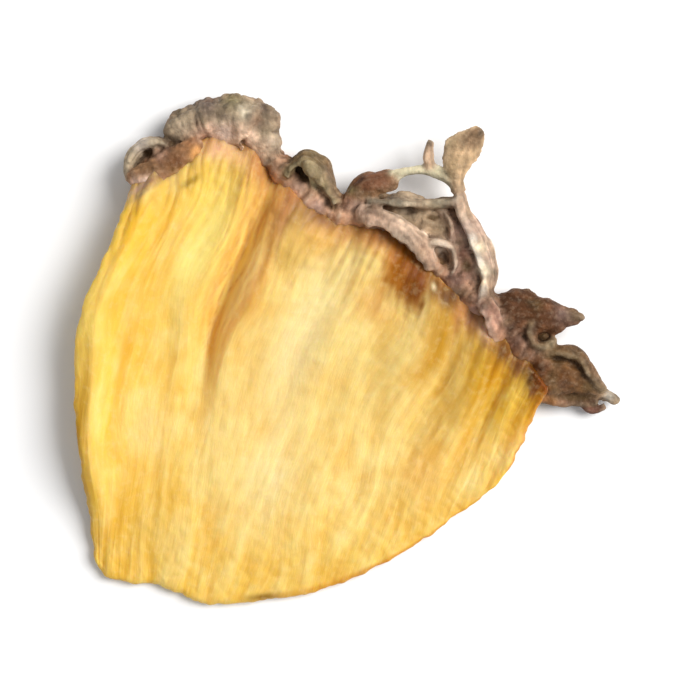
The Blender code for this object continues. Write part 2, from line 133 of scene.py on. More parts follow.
# Fine creases down the deep fold: cell across and along in mm, height in mm, and the place across
# and reach in mm of the fold
FOLD_CREASES = (0.40, 5.0, 0.22, 0.245, 1.7)
# Ledge on the deep fold's right side, which parts its shade in two lines: place across, and reach
# and height in mm
FOLD_LEDGE = (0.263, 0.50, 0.42)
# Frayed rim: cell and reach in mm, and the width in mm over which the rim moves
FRAY = ((1.9, 0.22), (0.7, 0.12))
FRAY_WIDTH = 1.6
# Pale and deep blotches of the flesh: cell in mm and strength
BLOTCHES = ((2.7, 0.30), (1.2, 0.22))
# Unevenness of the stain at the rind, in mm, and of the flesh's marks, as a share: cell across and
# along in mm, and amount
STAIN_EDGE = (0.6, 2.8, 1.5)
MARK_EDGE = (0.8, 5.0, 0.45)

# Rind strips: places along each as (x, y, z, half-width, half-thickness, roll in degrees).
# Roll 0 lays a strip flat and 90 stands it on edge. Cup lowers a strip's two long edges.
RIND_STRIPS = {
    "ridge": (0.0, (
        (-20.0, 16.9, 2.1, 1.7, 0.8, 90), (-17.9, 18.4, 1.9, 1.9, 1.2, 90),
        (-14.9, 20.5, 1.9, 1.9, 1.5, 90), (-11.4, 21.7, 1.9, 1.9, 1.6, 90),
        (-8.2, 20.6, 1.9, 1.9, 1.4, 90), (-6.2, 18.2, 1.9, 1.9, 1.3, 90),
        (-4.2, 16.0, 1.9, 1.9, 1.5, 90), (-2.0, 14.2, 1.9, 1.9, 1.4, 90),
        (0.5, 13.3, 1.8, 1.9, 1.3, 90), (3.4, 12.8, 1.8, 1.9, 1.3, 90),
        (6.4, 11.1, 1.8, 1.9, 1.3, 90), (9.1, 8.3, 1.8, 1.9, 1.3, 90),
        (11.4, 6.4, 1.8, 1.9, 1.4, 90), (13.8, 4.6, 1.8, 1.9, 1.5, 90),
        (16.4, 1.8, 2.0, 1.8, 1.4, 90), (18.8, -0.5, 2.1, 1.7, 1.4, 90),
        (20.9, -3.2, 1.9, 1.6, 1.2, 90),
    )),
    "cap": (0.35, (
        (-17.0, 20.6, 3.0, 1.2, 0.8, 20), (-15.3, 21.7, 3.4, 2.0, 1.0, 16),
        (-13.9, 22.2, 3.5, 1.8, 1.0, 12), (-12.4, 22.5, 3.8, 2.3, 1.1, 12),
        (-10.2, 22.6, 3.9, 2.5, 1.1, 14), (-8.0, 22.1, 3.6, 2.5, 1.0, 18),
        (-7.0, 20.0, 3.2, 1.7, 0.9, 22), (-6.6, 18.0, 2.9, 1.0, 0.7, 28),
    )),
    "cap_skirt": (0.0, (
        (-16.8, 21.8, 2.2, 1.4, 0.7, 80), (-14.0, 23.6, 2.2, 1.6, 0.7, 80),
        (-10.8, 24.0, 2.3, 1.7, 0.7, 80), (-7.9, 23.0, 2.2, 1.6, 0.7, 80),
        (-6.4, 20.6, 2.2, 1.4, 0.7, 80),
    )),
    "lip": (0.2, (
        (-20.6, 16.7, 4.2, 0.9, 0.5, 0), (-18.9, 17.0, 5.0, 1.4, 0.5, 14),
        (-17.2, 17.7, 5.0, 1.4, 0.5, 14), (-15.4, 19.1, 4.5, 1.1, 0.5, 10),
        (-13.5, 20.4, 4.1, 0.7, 0.4, 0),
    )),
    "left_curl": (0.0, (
        (-20.2, 16.4, 2.9, 1.3, 0.55, 90), (-20.5, 18.2, 2.8, 1.7, 0.6, 88),
        (-19.4, 19.8, 2.8, 1.8, 0.6, 84), (-17.9, 20.3, 2.8, 1.8, 0.55, 84),
        (-16.6, 19.8, 2.7, 1.5, 0.5, 90),
    )),
    "left_curl_bed": (0.0, (
        (-19.6, 17.8, 1.9, 1.0, 0.9, 0), (-18.1, 18.8, 2.0, 1.4, 0.9, 0),
        (-16.4, 19.8, 1.9, 1.2, 0.9, 0),
    )),
    "second_curl": (0.1, (
        (-5.6, 16.6, 2.8, 1.5, 0.6, 88), (-4.7, 18.1, 2.8, 1.8, 0.6, 86),
        (-3.4, 18.7, 2.9, 2.0, 0.7, 74), (-2.1, 17.9, 2.9, 2.1, 0.8, 70),
        (-1.2, 16.2, 2.8, 2.0, 0.8, 74), (-0.4, 14.2, 2.5, 1.6, 0.7, 84),
    )),
    "second_curl_fold": (0.0, (
        (-2.6, 18.0, 3.0, 0.9, 0.5, 60), (-2.4, 16.7, 2.8, 1.1, 0.55, 62),
        (-1.9, 15.2, 2.5, 0.9, 0.5, 70),
    )),
    "second_curl_bed": (0.0, (
        (-5.2, 16.2, 1.7, 1.3, 1.0, 0), (-3.5, 16.6, 2.0, 2.0, 1.1, 0),
        (-2.0, 15.4, 1.9, 1.8, 1.1, 0), (-0.8, 13.8, 1.6, 1.2, 1.0, 0),
    )),
    "brown_hood": (0.45, (
        (0.2, 13.4, 2.8, 0.9, 0.6, 30), (1.0, 15.0, 3.3, 1.2, 0.6, 30),
        (2.3, 16.2, 3.7, 1.5, 0.6, 26), (3.9, 16.5, 3.8, 1.4, 0.55, 22),
        (5.5, 16.9, 3.7, 0.9, 0.5, 10),
    )),
    "loop_strand": (0.1, (
        (4.6, 16.9, 3.7, 0.8, 0.5, 0), (6.4, 17.4, 3.9, 0.55, 0.42, 0),
        (8.3, 17.5, 4.0, 0.6, 0.42, 0), (10.0, 16.9, 4.0, 0.7, 0.45, 0),
        (11.4, 15.6, 3.8, 0.8, 0.5, 0),
    )),
    "thorn": (0.0, (
        (8.6, 17.4, 4.0, 0.6, 0.45, 0), (8.4, 18.7, 4.4, 0.5, 0.4, 0),
        (8.6, 20.3, 4.8, 0.3, 0.3, 0),
    )),
    "bract": (0.2, (
        (11.3, 15.2, 3.8, 0.8, 0.5, 0), (11.1, 16.8, 4.2, 1.0, 0.4, -8),
        (11.4, 18.2, 4.6, 1.7, 0.32, -14), (12.0, 19.4, 4.9, 1.9, 0.3, -12),
        (12.8, 20.5, 5.0, 1.4, 0.3, -6), (13.5, 21.3, 5.0, 0.7, 0.3, 0),
    )),
    "loop_rim": (0.0, (
        (2.4, 14.5, 2.5, 1.4, 0.5, 90), (4.8, 14.4, 2.7, 1.6, 0.55, 86),
        (7.2, 14.3, 2.8, 1.7, 0.55, 84), (9.6, 14.3, 2.8, 1.7, 0.55, 86),
        (11.6, 14.5, 2.8, 1.5, 0.5, 90),
    )),
    "pale_band": (0.2, (
        (1.6, 13.5, 3.6, 0.7, 0.5, 16), (3.4, 13.1, 4.1, 1.0, 0.5, 24),
        (5.2, 12.3, 4.4, 1.2, 0.5, 26), (6.8, 11.1, 4.4, 1.2, 0.5, 26),
        (8.1, 9.5, 4.1, 1.0, 0.5, 24), (8.8, 7.8, 3.7, 0.7, 0.5, 14),
    )),
    "band_curl": (0.0, (
        (8.0, 10.4, 3.2, 1.1, 0.45, 80), (9.6, 10.6, 3.2, 1.2, 0.45, 80),
        (10.8, 9.8, 3.0, 1.2, 0.45, 84), (11.0, 8.4, 2.8, 1.2, 0.45, 90),
        (10.6, 7.0, 2.7, 1.1, 0.45, 90),
    )),
    "outer_band": (0.05, (
        (11.3, 15.4, 3.3, 1.2, 0.5, 80), (12.0, 13.4, 3.0, 1.7, 0.55, 70),
        (13.2, 11.4, 2.7, 1.9, 0.6, 62), (14.0, 9.4, 2.6, 2.0, 0.6, 60),
        (14.4, 7.4, 2.5, 1.9, 0.6, 66), (14.1, 5.6, 2.4, 1.7, 0.55, 76),
        (13.6, 4.2, 2.3, 1.4, 0.5, 84),
    )),
    "upper_septum": (0.0, (
        (9.2, 14.2, 2.2, 1.3, 0.5, 90), (10.6, 12.8, 2.3, 1.5, 0.5, 80),
        (10.8, 11.2, 2.3, 1.5, 0.5, 84), (10.2, 9.9, 2.2, 1.3, 0.45, 90),
    )),
    "lower_septum": (0.0, (
        (13.8, 9.6, 2.0, 1.3, 0.5, 90), (12.6, 9.9, 2.1, 1.4, 0.5, 90),
        (11.4, 9.4, 2.1, 1.3, 0.45, 84),
    )),
    "loop_bed": (0.0, (
        (1.6, 13.9, 1.3, 1.2, 1.3, 0), (4.4, 13.4, 1.5, 1.8, 1.5, 0),
        (7.8, 12.6, 1.8, 2.4, 1.4, 0), (10.8, 11.2, 2.1, 3.0, 1.3, 0),
        (12.2, 8.6, 1.9, 2.6, 1.2, 0), (12.6, 5.8, 1.7, 2.0, 1.4, 0),
    )),
    "pale_cut": (0.1, (
        (13.2, 5.4, 3.1, 0.6, 0.5, 20), (14.2, 4.1, 4.0, 1.0, 0.5, 26),
        (14.9, 2.6, 4.1, 1.1, 0.5, 26), (15.4, 0.9, 3.6, 0.7, 0.5, 14),
    )),
    "fourth_hood": (0.4, (
        (14.4, 3.6, 2.2, 2.1, 0.7, 0), (16.4, 3.6, 3.1, 2.8, 0.7, 4),
        (18.5, 3.4, 3.5, 2.9, 0.65, 6), (20.4, 3.3, 3.3, 2.2, 0.6, 4),
        (21.9, 3.3, 3.0, 1.3, 0.5, 2), (23.6, 3.2, 2.7, 0.2, 0.3, 0),
    )),
    "fourth_curl": (0.0, (
        (18.7, 2.9, 3.6, 0.5, 0.4, 70), (18.3, 1.8, 3.5, 0.9, 0.45, 70),
        (18.8, 0.7, 3.2, 1.1, 0.45, 70), (19.8, 0.6, 3.0, 1.0, 0.45, 70),
        (20.7, 1.2, 2.8, 0.7, 0.4, 70),
    )),
    "fifth_hood": (0.35, (
        (18.4, -1.8, 2.4, 1.3, 0.8, 0), (20.4, -2.2, 2.9, 2.0, 0.8, 4),
        (22.5, -2.5, 2.8, 2.1, 0.65, 6), (24.2, -3.3, 2.3, 1.5, 0.6, 4),
        (25.6, -4.1, 1.7, 0.9, 0.5, 0), (27.2, -4.9, 1.2, 0.35, 0.4, 0),
    )),
    "fifth_fold": (0.0, (
        (19.0, -0.3, 2.8, 0.8, 0.5, 70), (21.2, 0.0, 3.2, 1.1, 0.5, 64),
        (23.2, -0.6, 3.2, 1.1, 0.5, 62), (24.4, -2.4, 2.8, 0.9, 0.5, 66),
        (25.6, -3.8, 2.1, 0.6, 0.45, 70),
    )),
    "fifth_hem": (0.1, (
        (19.4, -3.9, 1.5, 1.1, 0.7, 0), (21.4, -4.5, 1.6, 1.1, 0.7, 10),
        (23.3, -4.5, 1.6, 0.9, 0.6, 10), (25.2, -4.6, 1.5, 0.6, 0.5, 0),
    )),
    "thread": (0.0, (
        (23.4, -4.9, 1.3, 0.4, 0.35, 0), (24.6, -5.8, 1.1, 0.35, 0.3, 0),
        (25.9, -5.4, 1.1, 0.3, 0.3, 0),
    )),
}
STRIP_LUMP_CELL, STRIP_LUMP_SHARE = 1.9, 0.3
RAGGED_CELL, RAGGED_SHARE = 2.4, 0.25
END_TAPER = 0.55
STRIP_STEPS, STRIP_SIDES = 10, 28

# Skin of the rind: voxel size and smoothing
RIND_VOXEL = 0.165
RIND_SMOOTHING = 2
# Rounds of blurring for the strips' looks, the relief, the level that creases are told by, and
# the share that has grown out of the flesh
LOOK_ROUNDS, RELIEF_ROUNDS, LEVEL_ROUNDS, GROWN_ROUNDS = 6, 1, 14, 4
# How far apart the strips lie in the noise, so that no two are alike
STRIP_APART = 9.7
# Relief of the rind as cell in mm, or cell across and along a strip, and height in mm
LUMPS = (2.1, 0.26)
KNOBS = (0.85, 0.13)
CREASES = (0.85, 3.4, 0.26)
WRINKLES = (0.36, 1.5, 0.08)
GRIT = (0.32, 0.04)
# Fibres along the smoother strips: cell across and along in mm, and height in mm
STRIP_FIBRES = (0.42, 5.0, 0.20)
# Pleats where the rind grows out of the flesh: cell along the seam and away from it in mm, height in
# mm, and how far out of the flesh they reach
SEAM_PLEATS = (0.6, 2.8, 0.17)
SEAM_REACH = (0.6, 2.4)
SEAM_STEPS = 400
# Pale streaks at the seam: cell along it and away from it in mm
SEAM_STREAKS = (0.5, 3.0)

# The light shows paint brighter than it is, so paint is given as it looks and dimmed by this
LIT_SHARE = 0.86


def paint(red, green, blue):
    """A linear colour from the screen values, 0 to 255, that it shows in the light."""
    share = np.array((red, green, blue)) / 255.0
    return LIT_SHARE * np.where(share <= 0.04045, share / 12.92, ((share + 0.055) / 1.055) ** 2.4)


# Colours of the flesh's broad zones, its streaks and its stain at the rind
LEFT_YELLOW = paint(250, 203, 82)
MIDDLE_YELLOW = paint(255, 220, 132)
RIGHT_GOLD = paint(230, 176, 30)
LOW_GOLD = paint(247, 199, 78)
PALE_STREAK = paint(255, 236, 160)
DEEP_STREAK = paint(232, 170, 48)
RIND_SIDE_PINK = paint(216, 162, 112)
RIND_SIDE_BROWN = paint(158, 102, 62)
RIND_SIDE_GOLD = paint(212, 150, 58)

# Marks on the flesh: place (x, y) in mm, reach across and along the fibres in mm, colour as
# screen values, strength
FLESH_MARKS = {
    "pale_middle": (-4.3, 0.5, 1.9, 7.0, (255, 234, 178), 0.62),
    "pale_low": (-6.8, -12.5, 2.6, 5.0, (252, 230, 168), 0.60),
    "pale_left_low": (-12.4, -5.5, 2.2, 5.0, (253, 226, 150), 0.50),
    "pale_near_rind": (-2.6, 4.6, 2.4, 3.4, (255, 234, 164), 0.68),
    "pale_right": (6.8, 3.0, 1.4, 3.0, (250, 226, 150), 0.45),
    "bright_left": (-23.8, 2.0, 1.2, 8.0, (252, 226, 120), 0.75),
    "bright_upper": (-13.4, 10.0, 1.9, 6.5, (252, 234, 136), 0.75),
    "bright_under_cap": (-13.0, 16.0, 2.0, 3.0, (252, 218, 100), 0.60),
    "gold_corner": (-20.0, 11.4, 1.0, 3.0, (244, 192, 44), 0.85),
    "gold_left_streak": (-21.3, -2.0, 0.7, 7.0, (240, 188, 62), 0.60),
    "gold_edge": (-25.4, -10.0, 1.0, 10.0, (196, 146, 30), 0.90),
    "pale_left_middle": (-18.6, -7.6, 1.9, 3.6, (252, 226, 152), 0.65),
    "gold_low_left": (-20.8, -15.5, 2.6, 6.0, (234, 182, 62), 0.65),
    "gold_low_left_right": (-17.8, -15.5, 1.5, 4.5, (226, 178, 66), 0.60),
    "gold_low_edge": (-24.0, -14.0, 0.7, 5.0, (206, 164, 50), 0.70),
    "orange_streak_left": (-16.5, 9.0, 0.5, 4.0, (236, 180, 66), 0.60),
    "orange_fold_left": (-10.3, 4.6, 0.70, 7.5, (255, 194, 92), 0.75),
    "fold_line": (-9.6, 4.6, 0.22, 7.0, (240, 168, 76), 0.60),
    "second_fold_line": (-7.2, 9.0, 0.50, 4.2, (196, 134, 52), 0.95),
    "second_fold_line_low": (-8.8, 5.0, 0.75, 3.0, (226, 170, 76), 0.85),
    "orange_fold_right": (-8.1, 8.2, 0.45, 7.0, (246, 182, 104), 0.70),
    "fold_left_line": (-9.4, 9.2, 0.45, 7.0, (255, 204, 84), 0.75),
    "fold_middle": (-8.2, 9.2, 0.50, 6.0, (255, 218, 136), 0.92),
    "fold_middle_low": (-10.5, 5.0, 0.50, 3.6, (255, 216, 132), 0.90),
    # Painted light over the deep fold's shade at its top
    "fold_top_painted_light": (-7.8, 12.2, 1.00, 1.8, (255, 204, 108), 0.80),
    "fold_tail": (-12.8, 0.4, 0.35, 3.5, (228, 164, 68), 0.70),
    "olive_by_fold": (-5.4, 8.9, 0.95, 1.3, (160, 118, 34), 0.92),
    "pleat_at_rind": (-6.9, 13.9, 0.6, 2.0, (200, 136, 44), 0.60),
    "pink_pleat_at_rind": (-5.5, 13.2, 0.7, 2.6, (208, 144, 96), 0.80),
    "olive_pleat_at_rind": (-4.1, 12.8, 0.9, 1.9, (150, 106, 46), 0.90),
    "gold_right_upper": (10.1, 1.7, 1.0, 4.5, (200, 148, 40), 0.80),
    "gold_right": (13.8, -3.4, 2.0, 4.6, (214, 156, 16), 0.85),
    "gold_right_dark": (14.8, -1.7, 0.7, 1.5, (180, 120, 6), 0.80),
    "gold_right_bright": (12.9, -2.0, 0.6, 2.2, (255, 204, 70), 0.75),
    "gold_valley": (9.0, 0.0, 1.3, 3.4, (198, 144, 22), 0.85),
    "gold_right_of_valley": (11.4, 0.0, 1.3, 2.6, (222, 164, 46), 0.75),
    "gold_right_middle": (9.4, -6.8, 0.9, 5.0, (214, 168, 82), 0.60),
    "bright_right": (16.8, -4.8, 0.9, 4.5, (252, 206, 84), 0.75),
    "gold_right_far": (12.2, -10.0, 0.8, 3.5, (222, 172, 74), 0.55),
    "gold_right_low": (9.0, -12.4, 3.2, 4.0, (232, 178, 66), 0.60),
    "orange_foot_middle": (0.7, 11.8, 2.0, 1.1, (190, 132, 66), 0.85),
    "orange_foot_right": (3.2, 11.2, 1.2, 1.2, (176, 116, 58), 0.85),
    "gold_near_curl": (-2.2, 11.0, 1.4, 1.5, (228, 176, 84), 0.60),
    "gold_right_of_fold": (-5.4, 8.4, 1.2, 3.4, (244, 200, 106), 0.65),
    "gold_by_amber": (4.0, 6.4, 0.7, 2.6, (212, 154, 66), 0.75),
    "gold_across_middle": (-8.6, -1.0, 1.6, 3.5, (244, 200, 110), 0.45),
    "olive_gold_streak": (9.5, 3.0, 0.6, 2.4, (206, 156, 58), 0.80),
    "pale_by_amber": (7.9, 3.8, 0.35, 2.2, (252, 224, 150), 0.70),
    "brown_by_amber": (8.6, 7.0, 1.3, 1.6, (176, 124, 48), 0.75),
    "brown_over_amber": (4.6, 10.9, 1.2, 0.9, (166, 104, 52), 0.70),
    "brown_right_corner": (18.9, -2.3, 2.6, 1.6, (98, 54, 4), 1.10),
    "brown_right_corner_low": (19.6, -3.4, 1.2, 2.2, (128, 66, 10), 0.97),
    "orange_flecks": (3.4, 4.4, 1.5, 1.6, (228, 168, 88), 0.60),
    "orange_low": (7.9, -11.6, 1.8, 2.2, (240, 188, 104), 0.55),
    "brown_under_curl": (-1.9, 13.0, 1.4, 0.9, (138, 90, 44), 0.85),
    "purple_at_rind": (10.9, 5.3, 0.9, 1.0, (92, 58, 38), 0.95),
    "purple_at_rind_low": (12.3, 3.2, 0.6, 0.8, (160, 108, 84), 0.80),
    "brown_right_of_amber": (9.8, 5.3, 1.25, 0.9, (104, 60, 6), 0.97),
    "brown_foot_right": (15.6, 0.2, 1.6, 1.2, (118, 74, 28), 0.95),
    "pink_lip": (-18.7, 15.9, 1.1, 0.40, (240, 202, 176), 0.85),
    "pale_by_cut": (13.9, 2.0, 0.8, 0.9, (244, 204, 168), 0.90),
    "shade_under_lip": (-18.8, 15.1, 1.2, 0.35, (184, 156, 112), 0.60),
    "white_dot": (9.0, 6.1, 0.24, 0.30, (255, 236, 190), 0.90),
    "pink_under_cap_left": (-11.5, 19.5, 1.8, 1.0, (236, 184, 140), 0.80),
    "brown_under_cap_right": (-8.0, 17.6, 1.0, 1.6, (190, 128, 76), 0.70),
    "brown_under_lip": (-17.3, 16.9, 1.5, 0.8, (150, 104, 58), 0.85),
    "pink_by_cut": (11.5, 3.4, 0.7, 2.0, (196, 134, 72), 0.80),
}
# Short strokes on the flesh: place (x, y), half-length and half-width in mm, direction in degrees,
# colour, strength, and how square their ends are
FLESH_STROKES = {
    "cut_mark": (-14.5, 16.3, 1.0, 0.34, 35.0, (164, 124, 6), 0.85, 4),
    "burnt_edge": (-7.6, -24.1, 1.5, 0.35, 4.0, (112, 88, 22), 0.90, 2),
}
# Amber patch: place (x, y), half-width and half-length in mm, and direction in degrees
AMBER_PATCH = (6.2, 7.5, 2.1, 3.7, 108.0)
# Unevenness of its edge: cell in mm and share, and cell across and along in mm and share
AMBER_LUMPS, AMBER_STREAKS = (1.0, 0.20), (0.45, 3.0, 0.22)
AMBER, DARK_AMBER = paint(176, 104, 0), paint(128, 66, 0)
# Colours of the creases in the deep fold, of the painted shade in the valleys of the right part, and of the
# dried edges
FOLD_ORANGE = paint(220, 144, 62)
VALLEY_SHADE_GOLD = paint(220, 154, 4)
CORE_LINE, CUT_LINE = paint(214, 142, 34), paint(192, 112, 44)

# Each rind strip's looks: its faces, its long edges, its far end, how crumpled it is from 0 to 1,
# and the way its creases run (0 along it, 1 across it)
RIND_LOOKS = {
    "ridge": ((150, 108, 80), (184, 142, 112), (116, 70, 42), 1.0, 1),
    "cap": ((156, 136, 110), (170, 144, 118), (166, 142, 116), 0.8, 1),
    "cap_skirt": ((140, 120, 98), (150, 132, 108), (130, 112, 90), 0.8, 1),
    "lip": ((168, 124, 86), (170, 128, 96), (150, 100, 62), 0.5, 0),
    "left_curl": ((180, 160, 132), (192, 174, 146), (148, 128, 104), 0.8, 0),
    "left_curl_bed": ((142, 116, 94), (142, 116, 94), (114, 90, 72), 1.0, 0),
    "second_curl": ((114, 93, 64), (150, 132, 98), (138, 112, 86), 0.9, 0),
    "second_curl_fold": ((150, 136, 98), (190, 176, 134), (120, 96, 66), 0.5, 0),
    "second_curl_bed": ((112, 86, 60), (112, 86, 60), (84, 60, 40), 1.0, 0),
    "brown_hood": ((114, 74, 50), (134, 98, 66), (134, 100, 72), 0.6, 0),
    "loop_strand": ((204, 194, 162), (212, 204, 178), (208, 190, 158), 0.15, 0),
    "thorn": ((190, 158, 130), (186, 158, 132), (74, 60, 50), 0.35, 0),
    "bract": ((186, 155, 119), (200, 172, 138), (120, 94, 70), 0.15, 0),
    "loop_rim": ((112, 92, 70), (132, 124, 106), (120, 98, 74), 0.6, 0),
    "pale_band": ((200, 170, 146), (216, 190, 166), (186, 150, 124), 0.25, 0),
    "band_curl": ((158, 132, 112), (196, 176, 154), (176, 146, 124), 0.45, 0),
    "outer_band": ((180, 152, 132), (244, 232, 214), (186, 156, 126), 0.25, 0),
    "upper_septum": ((158, 124, 106), (178, 152, 130), (140, 102, 86), 0.7, 0),
    "lower_septum": ((134, 94, 78), (156, 122, 104), (118, 80, 66), 0.7, 0),
    "loop_bed": ((164, 136, 106), (164, 136, 106), (150, 112, 94), 1.0, 0),
    "pale_cut": ((196, 148, 126), (220, 182, 160), (200, 146, 110), 0.40, 0),
    "fourth_hood": ((92, 56, 30), (102, 68, 44), (108, 82, 68), 0.6, 0),
    "fourth_curl": ((96, 70, 48), (136, 116, 88), (110, 84, 60), 0.7, 0),
    "fifth_hood": ((108, 74, 42), (118, 88, 58), (140, 120, 98), 0.55, 0),
    "fifth_fold": ((104, 78, 52), (132, 108, 78), (120, 96, 74), 0.6, 0),
    "fifth_hem": ((84, 56, 36), (116, 94, 72), (108, 82, 62), 0.8, 0),
    "thread": ((110, 70, 56), (110, 70, 56), (96, 62, 50), 0.4, 0),
}
# Where the looks of a strip's long edges and of its far end start and are full, as shares of its
# half-width and of its run
EDGE_FROM, EDGE_TO = 0.60, 0.98
END_FROM, END_TO = 0.55, 1.0

# Marks on the rind: place (x, y) in mm, reach in mm, colour, strength
RIND_MARKS = {
    # Painted shade in the hollow at the cap's left
    "cap_left_painted_shade": (-16.4, 20.2, 0.9, (72, 52, 38), 0.85),
    "cap_left_light": (-15.1, 21.9, 1.1, (208, 184, 156), 0.75),
    "cap_left_top_dark": (-15.8, 23.2, 0.7, (104, 90, 66), 0.60),
    "cap_purple": (-12.9, 23.7, 1.2, (104, 88, 82), 0.80),
    "cap_olive": (-10.4, 24.2, 1.0, (108, 100, 64), 0.75),
    "cap_dark_middle": (-11.6, 22.6, 0.8, (124, 106, 82), 0.60),
    "cap_dark_rim": (-7.3, 23.6, 0.8, (84, 66, 58), 0.85),
    "cap_pale": (-9.2, 23.0, 0.8, (208, 196, 172), 0.70),
    "cap_dark_spot": (-7.9, 22.0, 0.8, (106, 80, 60), 0.75),
    "cap_right_slope": (-6.8, 20.2, 1.0, (186, 166, 144), 0.60),
    "cap_foot_left": (-13.2, 20.9, 1.1, (206, 166, 142), 0.60),
    "cap_foot_middle": (-11.2, 20.9, 1.1, (230, 200, 182), 0.75),
    "cap_foot_right": (-9.2, 20.1, 1.3, (252, 214, 184), 0.92),
    "cap_foot_far_right": (-7.9, 19.3, 0.9, (226, 190, 158), 0.75),
    "lip_pink": (-18.6, 16.2, 0.7, (248, 216, 196), 0.95),
    "lip_pink_left": (-19.7, 16.1, 0.6, (224, 190, 170), 0.85),
    "lip_pink_right": (-17.6, 16.1, 0.40, (224, 184, 158), 0.50),
    "lip_upper_pink": (-17.3, 18.7, 0.7, (196, 156, 142), 0.60),
    # Painted light on the left curl's shaded left side
    "left_curl_painted_light": (-19.3, 20.0, 0.9, (222, 206, 192), 0.75),
    "lip_brown": (-18.7, 17.6, 1.0, (126, 92, 62), 0.85),
    "lip_brown_low": (-18.1, 17.4, 0.6, (132, 98, 66), 0.85),
    "lip_brown_right": (-16.6, 18.0, 1.2, (112, 76, 48), 0.85),
    "lip_gold_low": (-15.3, 16.7, 0.8, (218, 166, 70), 0.80),
    "lip_gold_middle": (-13.9, 17.9, 0.7, (222, 166, 84), 0.80),
    "lip_gold_top": (-13.7, 19.0, 0.8, (224, 160, 86), 0.80),
    "lip_gold_right": (-15.7, 18.1, 0.8, (116, 72, 38), 0.85),
    "gap_dark": (-7.0, 18.4, 0.6, (74, 56, 30), 0.80),
    "gap_dark_right": (-5.8, 17.8, 0.4, (64, 46, 26), 0.80),
    "curl_strand_pink": (-4.0, 15.8, 0.7, (206, 168, 146), 0.70),
    "curl_strand_pink_low": (-2.2, 14.0, 0.8, (190, 154, 140), 0.70),
    "curl_wall_grey": (-1.0, 17.0, 0.9, (134, 116, 94), 0.60),
    "below_curl_dark": (-2.4, 13.0, 0.7, (90, 64, 48), 0.70),
    "hood_foot_pink": (1.6, 13.9, 0.8, (216, 180, 158), 0.80),
    "hood_edge_olive": (0.9, 15.6, 0.5, (140, 124, 84), 0.70),
    "hood_foot_dark": (3.0, 13.9, 0.6, (76, 52, 30), 0.92),
    "hood_red": (3.8, 16.6, 1.0, (122, 74, 50), 0.60),
    "below_loop_pink": (3.0, 12.0, 1.6, (196, 154, 128), 0.60),
    "loop_grey": (6.8, 14.2, 1.5, (186, 168, 144), 0.80),
    # Purple-brown that the rind has, made paler as painted light over the shade beside the outer band
    "maroon_upper_painted_light": (11.7, 12.0, 1.2, (186, 150, 136), 0.80),
    "loop_olive": (8.2, 13.4, 1.3, (202, 174, 142), 0.80),
    "loop_olive_low": (9.8, 11.9, 1.0, (156, 132, 104), 0.60),
    "maroon_lower": (11.7, 9.4, 1.0, (112, 74, 58), 0.82),
    # Painted shade on the pale band's lower end
    "pale_band_low_painted_shade": (8.0, 10.0, 0.9, (164, 130, 106), 0.70),
    "band_curl_light": (9.8, 10.0, 0.6, (244, 220, 196), 0.85),
    "purple_brown": (11.0, 6.8, 1.2, (112, 80, 72), 0.85),
    "purple_brown_low": (11.6, 5.2, 1.0, (86, 56, 40), 0.90),
    "white_dot": (9.0, 6.2, 0.4, (250, 232, 180), 0.90),
    "band_stripe_upper": (13.5, 10.0, 0.6, (226, 206, 172), 0.80),
    "band_stripe": (13.8, 7.8, 0.6, (240, 222, 190), 0.90),
    "band_stripe_low": (13.6, 6.6, 0.4, (214, 184, 140), 0.60),
    "band_top": (11.5, 15.2, 1.0, (176, 148, 122), 0.85),
    "band_upper": (11.6, 13.6, 1.1, (194, 160, 130), 0.85),
    "band_middle": (12.5, 11.9, 0.7, (188, 160, 138), 0.70),
    "band_low": (13.8, 5.0, 0.8, (148, 114, 90), 0.85),
    "band_right_line": (14.9, 7.6, 0.5, (96, 82, 58), 0.75),
    "band_right_low": (14.5, 5.4, 0.8, (100, 80, 60), 0.85),
    "band_foot_dark": (13.8, 4.4, 0.5, (88, 66, 52), 0.70),
    "cut_pink_left": (12.9, 4.0, 0.6, (224, 184, 166), 0.75),
    "cut_pink_low": (14.4, 0.8, 0.8, (226, 180, 150), 0.80),
    "cut_right_dark": (16.4, 2.2, 1.1, (80, 52, 34), 0.97),
    "fourth_dark_root": (15.6, 4.4, 1.1, (80, 52, 34), 0.60),
    "fourth_foot_maroon": (17.0, 0.6, 1.3, (114, 78, 64), 0.75),
    "fourth_foot_dark": (18.1, 0.1, 0.8, (84, 54, 34), 0.85),
    "fourth_tip_pale": (21.4, 3.6, 0.7, (132, 108, 100), 0.50),
    "fifth_root_olive": (20.6, -1.0, 1.0, (126, 104, 66), 0.50),
    "fifth_foot_brown": (19.0, -1.4, 1.0, (96, 52, 14), 0.95),
    "fifth_foot_brown_right": (20.2, -2.5, 1.6, (88, 46, 12), 0.97),
    "fifth_low_brown": (20.8, -3.6, 1.2, (104, 68, 40), 0.70),
    "fifth_tip_white": (26.2, -4.5, 0.5, (206, 196, 180), 0.80),
}

# Hollows of the rind, sunk and darkened with painted shade: place (x, y) in mm, reach in x and in y
# in mm, and depth in mm. They fade from HOLLOW_UNDER to HOLLOW_OVER in height, so what spans them stays
# whole.
HOLLOWS = {
    "cap_left_hollow": (-16.6, 20.0, 0.7, 0.6, 0.3),
    "left_curl_hollow": (-18.8, 19.2, 0.6, 0.35, 0.2),
    "second_curl_hollow": (-3.4, 17.0, 0.7, 1.1, 0.1),
    "second_curl_low_hollow": (-0.7, 13.8, 0.6, 0.6, 0.6),
    "hood_hollow": (3.2, 14.6, 0.9, 0.5, 0.6),
    "loop_hollow": (8.7, 12.9, 0.9, 0.3, 0.3),
    "ring_hollow": (9.6, 8.4, 0.5, 0.6, 0.5),
    "maroon_hollow": (12.2, 8.2, 0.6, 0.7, 0.4),
    "band_foot_hollow": (13.4, 4.6, 0.4, 0.8, 0.4),
    "fourth_hollow": (19.6, 1.4, 0.5, 0.5, 0.35),
    "fifth_hollow": (22.8, -4.6, 1.8, 0.4, 0.4),
}
HOLLOW_UNDER, HOLLOW_OVER = 2.9, 3.9
